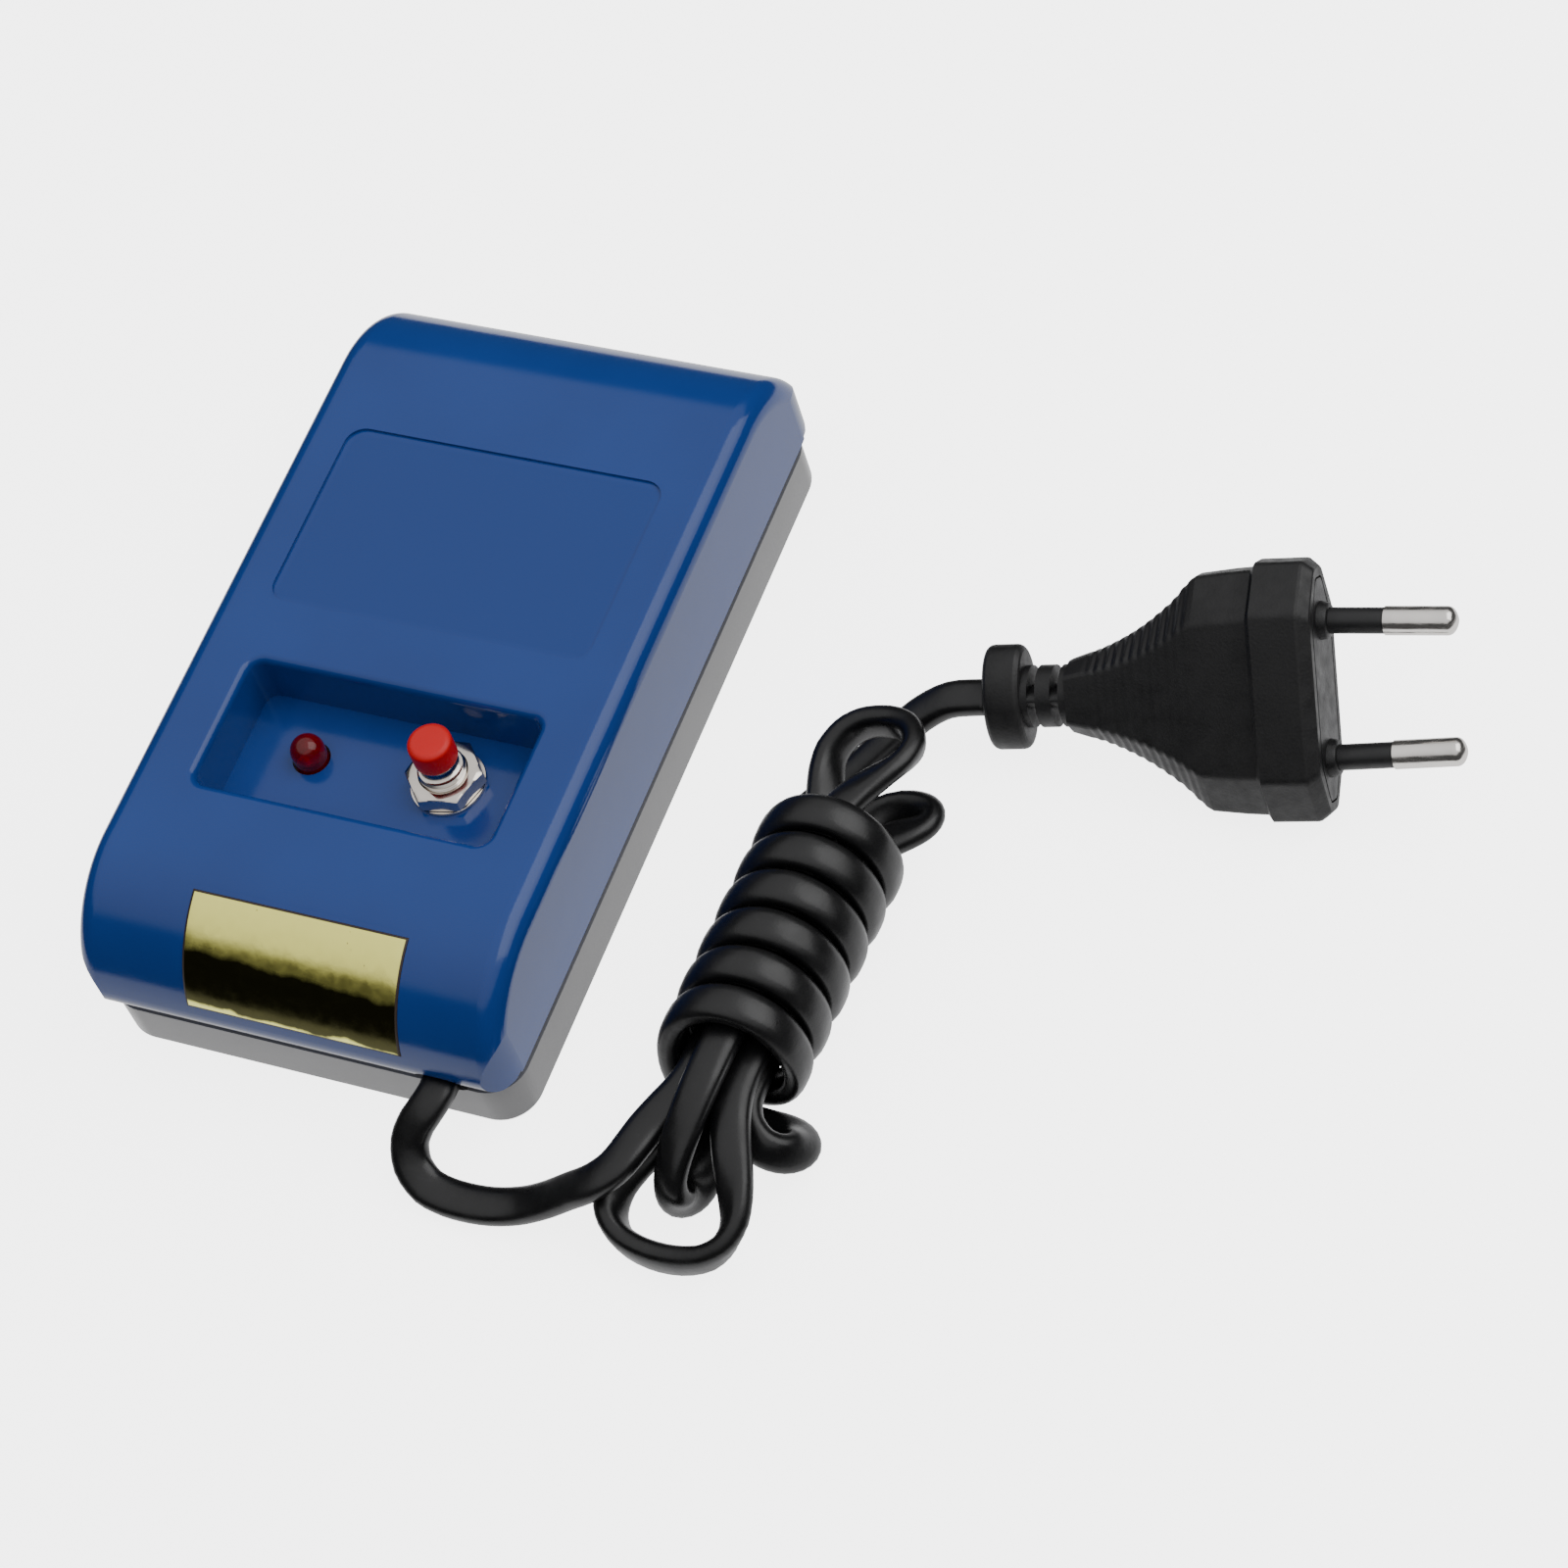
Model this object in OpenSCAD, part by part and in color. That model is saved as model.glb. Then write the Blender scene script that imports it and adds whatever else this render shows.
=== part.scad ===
// Desktop watch demagnetizer: moulded case, push switch, lamp, pulse coil and wound flat mains cord.
// Millimetres. The origin is under the middle of the case, z up, and the cord leaves the front at -y.

/* [Case] */
// Length of the cover at its widest
case_l = 120; // [114:1:126]
// Width of the cover
case_w = 66; // [64:1:70]
// Height of the cover's flat top above the table
case_h = 29.5; // [28.5:0.5:31]
// Height of the base below the parting line
base_h = 10; // [9.5:0.1:10.4]
// Open parting line between cover and base
part_gap = 0.5; // [0.3:0.1:0.7]
// Wall of the cover
cover_wall = 2.2; // [1.8:0.1:2.4]
// Wall of the base
base_wall = 2.4; // [2:0.1:2.8]
// Floor of the base
floor_t = 2; // [1.6:0.1:2.4]
// Radius of the cover's falling ends
end_r = 18; // [16:0.5:19]
// Radius that turns each end back under
lip_r = 5; // [4:0.25:5.5]
// Radius along the cover's top edges
edge_r = 3.2; // [2:0.2:3.8]
// Corner radius of the case in plan
corner_r = 6.3; // [5:0.1:8]

/* [Pocket] */
// Width of the control pocket
pocket_w = 46; // [44:1:48]
// Length of the control pocket
pocket_l = 21.2; // [20.4:0.2:22]
// Depth of the control pocket
pocket_d = 9.2; // [8.6:0.2:9.8]
// Place of the pocket's middle along the case
pocket_y = -21.5; // [-22.5:0.5:-20.5]
// Corner radius of the pocket
pocket_r = 2; // [1:0.25:4]
// Radius of the pocket's rounded rim
rim_r = 1.3; // [0.6:0.1:1.6]
// Wall of the pocket inside the case
tub_wall = 1.8; // [1.4:0.1:2]

/* [Watch rest] */
// Width of the shallow rest for the watch
rest_w = 50.6; // [46:0.2:54]
// Length of the rest
rest_l = 31.2; // [28:0.2:33]
// Depth of the rest
rest_d = 0.4; // [0.2:0.1:0.8]
// Corner radius of the rest
rest_r = 3; // [1:0.5:6]

/* [Button] */
// Place of the button across the case
button_x = 9.2; // [7:0.1:10.4]
// Place of the button along the case, from the pocket's middle
button_off = 2.4; // [0:0.2:3]
// Diameter of the red cap
cap_d = 6.4; // [5.6:0.2:7.4]
// Height of the red cap
cap_h = 4.2; // [3.6:0.2:5]
// Top of the cap above the pocket's floor
cap_rise = 11; // [10.4:0.2:12]
// Diameter of the plunger's stem
stem_d = 3.4; // [3:0.1:3.6]
// Diameter of the threaded bushing
bushing_d = 7; // [6.6:0.1:7.4]
// Bushing above the pocket's floor
bushing_rise = 4.3; // [4:0.1:4.8]
// Width of the nut across its flats
nut_af = 10; // [9:0.5:11]
// Height of the nut
nut_h = 2.8; // [2.2:0.1:3]
// Thickness of the washer
washer_t = 0.5; // [0.4:0.1:0.7]
// Travel of the button
travel = 1.6; // [1:0.1:1.8]
// Diameter of the switch barrel
barrel_d = 9.8; // [9.4:0.1:10.6]

/* [Lamp] */
// Place of the lamp across the case
lamp_x = -12.3; // [-14:0.1:-11]
// Place of the lamp along the case, from the pocket's middle
lamp_off = 1.7; // [0:0.1:2.5]
// Diameter of the lamp
lamp_d = 5; // [4.4:0.1:5.4]
// Lamp above the pocket's floor
lamp_rise = 4.5; // [3:0.1:5.5]
// Length of the lamp's circuit board
board_w = 19; // [18.5:0.5:20]

/* [Label] */
// Width of the bare foil plate
label_w = 33.4; // [24:0.2:36]
// Place of the plate's middle across the case
label_x = 1.4; // [-1:0.2:3]
// Thickness of the plate
label_t = 0.15; // [0.1:0.05:0.3]

/* [Coil] */
// Room beside the core, out to the case's side, for its bracket
core_room = 9; // [8.9:0.1:10]
// Width of the core's middle limb
limb_w = 16; // [14:0.5:16.5]
// Depth of the stack of plates
core_t = 16; // [13:1:17]
// Height of the core's limbs above its yoke
limb_h = 12; // [11:0.5:12.5]
// Height of the core's yoke
yoke_h = 8; // [7:0.5:8]
// Number of plates in the stack
plates = 16; // [10:2:20]

/* [Cord] */
// Width of the flat cord
cord_w = 5.5; // [5.2:0.1:5.7]
// Thickness of the flat cord
cord_t = 3.4; // [3.1:0.1:3.5]
// Distance of the cord exit from the case's side
exit_in = 10.7; // [10.4:0.1:11.4]
// Clearance round the cord in its exit
exit_gap = 0.9; // [0.5:0.1:1]

/* [Plug] */
// Width of the plug at its front
plug_w = 36; // [33:0.5:37]
// Thickness of the plug at its front
plug_t = 13.7; // [12:0.1:14]
// Diameter of the pins
pin_d = 4; // [3.8:0.1:4.2]
// Length of the pins
pin_l = 19; // [17:0.5:20]
// Distance between the pins at their roots
pin_gap = 19; // [17.5:0.1:19.6]

/* [Fasteners] */
// Diameter of the case screws
screw_d = 3; // [2.6:0.1:3.2]
// Diameter of the small screws
small_d = 2; // [1.8:0.1:2.2]

/* [Hidden] */
$fn = 32;

blue = [0.16, 0.30, 0.52];
grey = [0.58, 0.60, 0.62];
black = [0.06, 0.06, 0.06];
steel = [0.72, 0.72, 0.70];
brass = [0.80, 0.62, 0.28];
copper = [0.72, 0.38, 0.20];

// The plate's upper edge from the top of the end, and what it spans from there, in degrees
label_top = 19;
label_span = 56.4;

// Clearances that mating pieces share
slip = 0.2;
run_fit = 0.05;
thread_fit = 0.04;

// Case
part_z = base_h + part_gap;
end_y = case_l / 2 - end_r;
end_z = case_h - end_r;
lip_z = part_z + 3.1;
lip_a = asin((lip_z - end_z) / (end_r - lip_r));
lip_y = end_y + (end_r - lip_r) * cos(lip_a);
base_y = lip_y + sqrt(lip_r * lip_r - (lip_z - part_z) * (lip_z - part_z)) - 0.4;
base_x = case_w / 2 - 0.6;
base_r = corner_r - 0.6;
in_x = case_w / 2 - cover_wall;
in_y = case_l / 2 - cover_wall;
in_r = corner_r - cover_wall;
tongue_t = 1.2;
tongue_h = 2;
roof_z = case_h - cover_wall;

// Case screws stand at the four corners
post_x = case_w / 2 - 7;
post_y = end_y - 2;
post_z = 8.4;
post_d = 6.6;
boss_d = 9;
head_d = 5.6;
head_h = 2.2;
seat_z = 3.2;

// Pocket
pocket_z = case_h - pocket_d;
tub_z = pocket_z - tub_wall;

// Button and switch, from the pocket's floor
button_y = pocket_y + button_off;
cap_top = pocket_z + cap_rise;
cap_z = cap_top - cap_h;
bushing_top = pocket_z + bushing_rise;
nose_h = 1.6;
nose_d = bushing_d - 1.1;
nose_tip = stem_d + 1.4;
skirt_d = cap_d - 1;
skirt_h = nose_h - (cap_z - travel - bushing_top) + slip;
barrel_z = tub_z - 9;
chamber_d = barrel_d - 2.2;
chamber_z = barrel_z + 1.5;
chamber_top = tub_z - 0.6;
collar_t = 0.9;
collar_z = chamber_top - run_fit - collar_t;
spring_d = chamber_d - 2;
spring_wire = 0.45;
spring_turns = 5;
contact_d = 3.9;
contact_t = 0.5;
contact_z = chamber_z + 0.8 + travel;
post_gap = 1.15;
tag_z = barrel_z - 4.6;

// Lamp and its board
lamp_y = pocket_y + lamp_off;
board_t = 1.6;
board_l = 11;
board_z = tub_z - 4.1;
board_post = board_w / 2 - 2.4;
lead_gap = 1.27;

// Coil under the watch rest
coil_y = 14.7;
core_w = case_w - 2 * core_room;
core_z = 5;
yoke_top = core_z + yoke_h;
outer_limb = limb_w / 2;
window = (core_w - limb_w) / 2 - outer_limb;
bobbin_wall = 1.2;
tube_w = limb_w + 0.6 + 2 * bobbin_wall;
tube_l = core_t + 0.6 + 2 * bobbin_wall;
flange_x = limb_w / 2 + window - 0.3;
flange_y = core_t / 2 + window + 0.5;
winding_x = flange_x - 0.8;
winding_y = flange_y - 0.9;
winding_z = yoke_top + bobbin_wall;
winding_h = limb_h - 2 * bobbin_wall - 0.2;
lug_x = 10;

// Bracket under the core
strap_t = 1;
strap_l = 14;
ear_x = core_w / 2 + 3.35;
strap_x = ear_x + 2.5;

// Cord exit and clamp
exit_x = case_w / 2 - exit_in;
cord_z = 10.3;
cord_y = 1.5 - case_l / 2;
clamp_y = cord_y + 8.5;
sheath_y = cord_y + 14.5;
notch_w = cord_w + 2 * exit_gap;
notch_h = cord_t + 2 * exit_gap;
clamp_x = 5.1;
clamp_w = 14;
clamp_l = 6;
clamp_t = 2.2;
clamp_z = cord_z + cord_t / 2;
core_gap = 1.35;
wire_d = 1.6;

// Hank of cord: six passes, two loops and a short turn between them, and six wraps
sides = 8;
hank_turn = -3;
pass_x = cord_w / 2 + 0.35;
layer = cord_t + 0.5;
pass = [[0, -1.5 * layer], [-pass_x, -layer / 2], [pass_x, -layer / 2],
  [-pass_x, layer / 2], [pass_x, layer / 2], [0, 1.5 * layer]];
pass_y = 18;
loop_n = 24;
wraps = 6;
wrap_x = pass_x + cord_w / 2 + cord_t / 2 + 1.15;
wrap_z = 1.5 * layer + cord_t + 0.55;
hank_at = [exit_x + 39.7, cord_y + 27.5, cord_t / 2 + wrap_z + 0.3];
wrap_pitch = cord_w + 0.74;
wrap_y = -19.5;
wrap_shear = 0.2;
// Each loop: reach, swell, lean, dip, and where its roll on to edge begins and ends
turn_loop = [3.6, 0.5, 0, 0, 2, 3];
top_loop = [21.5, 6, 2.5, 0.6, 0.14, 0.5];
side_loop = [14, 3.8, 8, -1, 0.3, 0.9];
big_loop = [24.5, 7.6, -0.5, -8, 0.3, 0.8];
inner_loop = [19, 0.8, -0.5, -6.6, 0.4, 0.95];
// From the last pass round and under to the first wrap: place and roll
under = [[[3.4, -20.4, -2.1], 8], [[4.8, -23, -2.7], 35], [[7.4, -25, -3.8], 60],
  [[10.4, -25.2, -5.2], 80], [[12.8, -23.6, -6.6], 85], [[13.6, -21, -7.8], 75],
  [[12.4, -18.9, -8.8], 50], [[9.8, -18.8, -9.5], 20], [[6.6, -19.1, -wrap_z], 0],
  [[3.3, -19.35, -wrap_z], 0]];

// Routes are measured across and along from the exit, and up from the table.
// Lead, from the exit to the hank
lead_points = [
  [0, 0, 10.3], [0, -1, 10.3], [0, -2, 10.3], [-0.8, -4.4, 9.5], [-2.3, -6.8, 7.6],
  [-3.1, -8.9, 5.5], [-2.4, -10.9, 3.8], [-0.1, -12.4, 2.7], [3.1, -13.1, 2.1], [6.7, -13.3, 2],
  [10.7, -13, 2.1], [14.7, -12.3, 2.9], [18.7, -11.5, 4.9], [22.7, -10.5, 7.6], [26.7, -9.5, 10.4],
  [29.3, -7.5, 11.7], [30.6, -4.1, 12.2], [31.6, -0.9, 12.4], [32.9, 1.9, 12.8], [34.3, 4.5, 13.3],
  [35.1, 6.3, 13.6]];

// Tail, from the hank to the plug
tail_points = [
  [29.8, 50.4, 2], [29.6, 53, 2], [30.6, 56.5, 2], [32.7, 60.2, 2.1], [35.2, 63.9, 2.5],
  [37.7, 67.6, 3.5], [40.4, 71.2, 5], [43.4, 74.1, 6.7], [46.7, 75.85, 8.15]];

// Plug: place of its front face, turn, pitch and roll
plug_at = [exit_x + 100.2, cord_y + 84.6, 15.8];
plug_yaw = 9;
plug_pitch = 8;
plug_roll = 45;
plug_l = 49.4;
flange_w = 14.9;
flange_t = 9;
neck_l = 6.5;
sleeve_l = 9;
sleeve_d = pin_d - 0.4;
pin_core = pin_d - 1;
boss_w = pin_d + 0.8;

function smooth(t) = let(u = min(1, max(0, t))) u * u * (3 - 2 * u);
function unit(v) = v / norm(v);
function clip(i, n) = min(n - 1, max(0, i));
function tangents(p) = [for (i = [0 : len(p) - 1]) unit(p[clip(i + 1, len(p))] - p[clip(i - 1, len(p))])];
function square_to(v, t) = unit(v - t * (v * t));

// Normal of each ring: a number rolls it from up towards the side, a vector is taken as it is
function ring_up(spec, t) = is_num(spec)
  ? square_to([0, 0, 1] * cos(spec) + unit(cross(t, [0, 0, 1])) * sin(spec), t)
  : square_to(spec, t);
function normals(route) = let(t = tangents([for (r = route) r[0]]))
  [for (i = [0 : len(route) - 1]) ring_up(route[i][1], t[i])];
function ring(c, n, t, w, h, k) = let(s = cross(n, t))
  [for (j = [0 : k - 1]) c + s * (w / 2 * cos(360 * j / k)) + n * (h / 2 * sin(360 * j / k))];

// A tube of oval section swept along a route of [place, roll or normal]
module tube(route, w, h, k) {
  p = [for (r = route) r[0]];
  t = tangents(p);
  n = normals(route);
  last = (len(p) - 1) * k;
  polyhedron(
    points = [for (i = [0 : len(p) - 1]) each ring(p[i], n[i], t[i], w, h, k)],
    faces = concat(
      [[for (j = [0 : k - 1]) j]],
      [[for (j = [0 : k - 1]) last + k - 1 - j]],
      [for (i = [0 : len(p) - 2], j = [0 : k - 1])
        let(a = i * k + j, b = i * k + (j + 1) % k) [a, a + k, b + k]],
      [for (i = [0 : len(p) - 2], j = [0 : k - 1])
        let(a = i * k + j, b = i * k + (j + 1) % k) [a, b + k, b]]));
}

module wire(points, d, up) {
  tube([for (p = points) [p, up]], d, d, 8);
}

// Smooth curve through the chosen points, cut in steps
function curve(p, steps) = concat(
  [for (i = [0 : len(p) - 2], j = [0 : steps - 1])
    let(a = p[clip(i - 1, len(p))], b = p[i], c = p[i + 1], d = p[clip(i + 2, len(p))], u = j / steps)
    0.5 * (2 * b + (c - a) * u + (2 * a - 5 * b + 4 * c - d) * u * u + (3 * b - a - 3 * c + d) * u * u * u)],
  [p[len(p) - 1]]);

// A closed solid through rings of equal count
module loft(rings) {
  k = len(rings[0]);
  last = (len(rings) - 1) * k;
  polyhedron(
    points = [for (r = rings) each r],
    faces = concat(
      [[for (j = [0 : k - 1]) j]],
      [[for (j = [0 : k - 1]) last + k - 1 - j]],
      [for (i = [0 : len(rings) - 2], j = [0 : k - 1])
        let(a = i * k + j, b = i * k + (j + 1) % k) [a, a + k, b + k]],
      [for (i = [0 : len(rings) - 2], j = [0 : k - 1])
        let(a = i * k + j, b = i * k + (j + 1) % k) [a, b + k, b]]));
}

module round_rect(w, l, r) {
  square([w - 2 * r, l], center = true);
  square([w, l - 2 * r], center = true);
  for (x = [-1, 1], y = [-1, 1]) {
    translate([x * (w / 2 - r), y * (l / 2 - r)]) circle(r);
  }
}

module slab(w, l, r, z0, z1) {
  translate([0, 0, z0]) linear_extrude(z1 - z0) round_rect(w, l, r);
}

module rod(d, z0, z1) {
  translate([0, 0, z0]) cylinder(d = d, h = z1 - z0);
}

module at_posts() {
  for (x = [-1, 1], y = [-1, 1]) {
    translate([x * post_x, y * post_y, 0]) children();
  }
}

// Section across the case with rounded top edges: height along x, from 0, and width along y
module edge_section(h) {
  translate([0, edge_r - case_w / 2]) square([h, case_w - 2 * edge_r]);
  translate([0, -case_w / 2]) square([h - edge_r, case_w]);
  intersection() {
    for (s = [-1, 1]) translate([h - edge_r, s * (case_w / 2 - edge_r)]) circle(edge_r);
    translate([0, -case_w]) square([h + 1, 2 * case_w]);
  }
}

// One falling end of the cover, about an axis across the case, then the lip that turns it back under
module falling_end() {
  translate([0, end_y, end_z]) rotate([0, -90, 0])
    rotate_extrude(angle = 90 - lip_a) edge_section(end_r);
  translate([0, lip_y, lip_z]) rotate([0, -90, 0]) rotate_extrude() edge_section(lip_r);
  rotate([90, 0, 90]) translate([0, 0, -case_w / 2]) linear_extrude(case_w)
    polygon([[end_y, part_z], [end_y, end_z + 1], [lip_y, lip_z + 1], [lip_y, part_z]]);
}

module cover_outside() {
  intersection() {
    union() {
      translate([0, end_y, part_z]) rotate([0, -90, 90])
        linear_extrude(2 * end_y) edge_section(case_h - part_z);
      for (s = [0, 180]) rotate([0, 0, s]) falling_end();
    }
    slab(case_w + 0.04, case_l + 2, corner_r + 1, part_z, case_h + 1);
  }
}

module cover_inside() {
  intersection() {
    rotate([90, 0, 90]) translate([0, 0, -in_x]) linear_extrude(2 * in_x) {
      translate([-end_y, part_z - 1]) square([2 * end_y, roof_z - part_z + 1]);
      translate([-in_y, part_z - 1]) square([2 * in_y, end_z - part_z + 1]);
      for (s = [-1, 1]) translate([s * end_y, end_z]) circle(end_r - cover_wall);
    }
    slab(2 * in_x, 2 * in_y, in_r, part_z - 1, roof_z);
  }
}

// What a rounded rim takes away beside a wall at x = 0, below z = 0
module rim_section() {
  difference() {
    translate([-0.5, -rim_r]) square([rim_r + 0.5, rim_r + 0.5]);
    translate([rim_r, -rim_r]) circle(rim_r);
  }
}

module pocket_rim() {
  translate([0, pocket_y, case_h]) {
    for (x = [-1, 1], y = [-1, 1]) {
      translate([x * (pocket_w / 2 - pocket_r), y * (pocket_l / 2 - pocket_r), 0]) rotate_extrude()
        intersection() {
          translate([pocket_r, 0]) rim_section();
          translate([0, -rim_r]) square(2 * pocket_w);
        }
    }
    for (s = [0, 180]) rotate([0, 0, s]) {
      translate([pocket_w / 2, pocket_l / 2 - pocket_r, 0]) rotate([90, 0, 0])
        linear_extrude(pocket_l - 2 * pocket_r) rim_section();
      translate([-pocket_w / 2 + pocket_r, pocket_l / 2, 0]) rotate([90, 0, 90])
        linear_extrude(pocket_w - 2 * pocket_r) rim_section();
    }
  }
}

module exit_hole(y0, y1) {
  translate([exit_x, y1, cord_z]) rotate([90, 0, 0]) linear_extrude(y1 - y0)
    round_rect(notch_w, notch_h, 2);
}

module lamp_posts(d, z0, z1) {
  for (s = [-1, 1]) {
    translate([lamp_x + s * board_post, lamp_y, 0]) rod(d, z0, z1);
  }
}

module top_cover() {
  color(blue) difference() {
    union() {
      difference() {
        cover_outside();
        cover_inside();
      }
      translate([0, pocket_y, 0])
        slab(pocket_w + 2 * tub_wall, pocket_l + 2 * tub_wall, pocket_r + tub_wall, tub_z, roof_z + 0.5);
      at_posts() rod(post_d, post_z, roof_z + 0.5);
      lamp_posts(4.4, board_z + board_t, tub_z + 0.5);
    }
    translate([0, pocket_y, 0]) slab(pocket_w, pocket_l, pocket_r, pocket_z, case_h + 1);
    pocket_rim();
    translate([0, coil_y, 0]) slab(rest_w, rest_l, rest_r, case_h - rest_d, case_h + 1);
    translate([button_x, button_y, 0]) rod(bushing_d + 0.1, tub_z - 1, pocket_z + 1);
    translate([lamp_x, lamp_y, 0]) rod(lamp_d + 0.6, tub_z - 1, pocket_z + 1);
    at_posts() rod(screw_d + 2 * thread_fit - 0.1, post_z - 1, post_z + 11);
    lamp_posts(small_d + thread_fit, board_z, tub_z + 0.4);
    exit_hole(-case_l / 2 - 1, -in_y + 3);
  }
}

module base_tray() {
  w = 2 * base_x;
  l = 2 * base_y;
  r = base_r;
  e = 0.8;
  color(grey) difference() {
    union() {
      difference() {
        union() {
          rotate([90, 0, 0]) translate([0, 0, -(base_y - r)]) linear_extrude(l - 2 * r)
            for (s = [-1, 1]) scale([s, 1]) foot_profile(base_x, e);
          rotate([90, 0, 90]) translate([0, 0, -(base_x - r)]) linear_extrude(w - 2 * r)
            for (s = [-1, 1]) scale([s, 1]) foot_profile(base_y, e);
          for (x = [-1, 1], y = [-1, 1]) {
            translate([x * (base_x - r), y * (base_y - r), 0]) rotate_extrude() foot_profile(r, e);
          }
          slab(2 * (in_x - slip), 2 * (in_y - slip - 0.4), in_r - slip, base_h - 0.5, part_z + tongue_h);
        }
        slab(w - 2 * base_wall, l - 2 * base_wall, r - base_wall, floor_t, base_h - 2);
        slab(2 * (in_x - slip - tongue_t), 2 * (in_y - slip - 0.4 - tongue_t), in_r - slip - tongue_t,
          base_h - 2.01, case_h);
      }
      at_posts() rod(boss_d, floor_t - 0.5, post_z);
      for (s = [-1, 1]) {
        translate([s * ear_x, coil_y, 0]) rod(5, floor_t - 0.5, core_z - strap_t);
        translate([s * 10 - 1.5, coil_y - strap_l / 2, floor_t - 0.5])
          cube([3, strap_l, core_z - strap_t - floor_t + 0.5]);
      }
      translate([exit_x - clamp_w / 2, clamp_y - clamp_l / 2, floor_t - 0.5])
        cube([clamp_w, clamp_l, clamp_z - floor_t + 0.5]);
    }
    at_posts() {
      rod(screw_d + 0.4, -1, post_z + 1);
      rod(head_d + 0.6, -1, seat_z);
    }
    for (s = [-1, 1]) {
      translate([s * ear_x, coil_y, 0]) rod(small_d + 2 * thread_fit, 0.9, core_z);
      translate([exit_x + s * clamp_x, clamp_y, 0]) rod(small_d + 2 * thread_fit, 5, clamp_z + 1);
    }
    translate([exit_x - cord_w / 2 - 0.2, clamp_y - clamp_l, cord_z - cord_t / 2])
      cube([cord_w + 0.4, 2 * clamp_l, cord_t + 1]);
    exit_hole(-case_l / 2 - 1, -in_y + 5);
  }
}

// Half section of the base's wall with a rounded foot
module foot_profile(w, r) {
  translate([0, r]) square([w, base_h - r]);
  square([w - r, base_h]);
  translate([w - r, r]) circle(r);
}

// Pan-head screw whose seat is at z = 0 and whose shank runs up to len
module pan_screw(d, hd, hh, len) {
  rod(d, 0, len);
  difference() {
    rod(hd, -hh, 0);
    translate([0, 0, -hh]) {
      cube([hd * 0.62, 0.7, 1.6], center = true);
      cube([0.7, hd * 0.62, 1.6], center = true);
    }
  }
}

module case_screws() {
  color(steel) at_posts() translate([0, 0, seat_z]) pan_screw(screw_d - 0.1, head_d, head_h, 15);
}

module label_plate() {
  color(brass) translate([label_x - label_w / 2, -end_y, end_z]) rotate([0, 90, 0])
    rotate([0, 0, 180 + label_top]) rotate_extrude(angle = label_span)
      translate([end_r, 0]) square([label_t, label_w]);
}

module led_body() {
  color([0.45, 0.04, 0.05]) translate([lamp_x, lamp_y, 0]) {
    rod(lamp_d + 0.9, tub_z - 1, tub_z);
    rod(lamp_d, tub_z - 0.5, pocket_z + lamp_rise - lamp_d / 2);
    translate([0, 0, pocket_z + lamp_rise - lamp_d / 2]) rotate_extrude()
      intersection() {
        circle(lamp_d / 2);
        square(lamp_d);
      }
  }
}

module led_leads() {
  color(steel) translate([lamp_x, lamp_y, 0]) for (s = [-1, 1]) {
    translate([s * lead_gap, 0, 0]) rod(0.6, board_z - 1, tub_z - 1);
  }
}

module led_board() {
  color([0.10, 0.32, 0.16]) difference() {
    translate([lamp_x - board_w / 2, lamp_y - board_l / 2, board_z]) cube([board_w, board_l, board_t]);
    lamp_posts(small_d + 0.3, board_z - 1, board_z + board_t + 1);
    for (s = [-1, 1]) {
      translate([lamp_x + s * lead_gap, lamp_y, 0]) rod(0.6 + run_fit, board_z - 1, board_z + board_t + 1);
    }
  }
}

module board_screws() {
  color(steel) for (s = [-1, 1]) {
    translate([lamp_x + s * board_post, lamp_y, board_z]) pan_screw(small_d, small_d + 1.9, 1.4, 3.8);
  }
}

// Two-lead part lying under the board: body, then a lead bent up at each end
module axial(len, d, reach) {
  translate([-len / 2, 0, -d / 2]) rotate([0, 90, 0]) cylinder(d = d, h = len);
  for (s = [-1, 1]) scale([s, 1, 1]) {
    translate([len / 2, 0, -d / 2]) rotate([0, 90, 0]) cylinder(d = 0.6, h = reach - len / 2 + 0.3);
    translate([reach, 0, 0]) rod(0.6, -d / 2, 0);
  }
}

module led_resistor() {
  color([0.72, 0.60, 0.42]) translate([lamp_x, lamp_y + 3.4, board_z]) axial(6.4, 2.4, 5);
}

module led_diode() {
  color(black) translate([lamp_x, lamp_y - 3.4, board_z]) axial(5, 2.6, 4.4);
}

module button_cap() {
  e = 0.7;
  color([0.80, 0.10, 0.12]) translate([button_x, button_y, 0]) difference() {
    rotate_extrude() translate([0, cap_z]) {
      square([cap_d / 2, cap_h - e]);
      square([cap_d / 2 - e, cap_h]);
      translate([cap_d / 2 - e, cap_h - e]) circle(e);
    }
    rod(stem_d, cap_z - 1, cap_z + cap_h - 1.2);
    rod(skirt_d, cap_z - 1, cap_z + skirt_h);
  }
}

module button_plunger() {
  color(steel) translate([button_x, button_y, 0]) {
    rod(stem_d, collar_z + collar_t, cap_z + cap_h - 1.2);
    rod(chamber_d - 0.6, collar_z, collar_z + collar_t);
    rod(2, contact_z + contact_t, collar_z);
  }
}

module switch_contact() {
  color(copper) translate([button_x, button_y, 0]) rod(contact_d, contact_z, contact_z + contact_t);
}

module switch_bushing() {
  color(steel) translate([button_x, button_y, 0]) difference() {
    union() {
      rod(bushing_d, tub_z, bushing_top);
      for (z = [pocket_z + washer_t + nut_h + 0.3 : 0.35 : bushing_top - 0.3]) {
        rod(bushing_d + 0.12, z, z + 0.15);
      }
      translate([0, 0, bushing_top - 0.01]) cylinder(d1 = nose_d, d2 = nose_tip, h = nose_h);
    }
    rod(stem_d + 2 * run_fit, tub_z - 1, bushing_top + nose_h + 1);
  }
}

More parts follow.
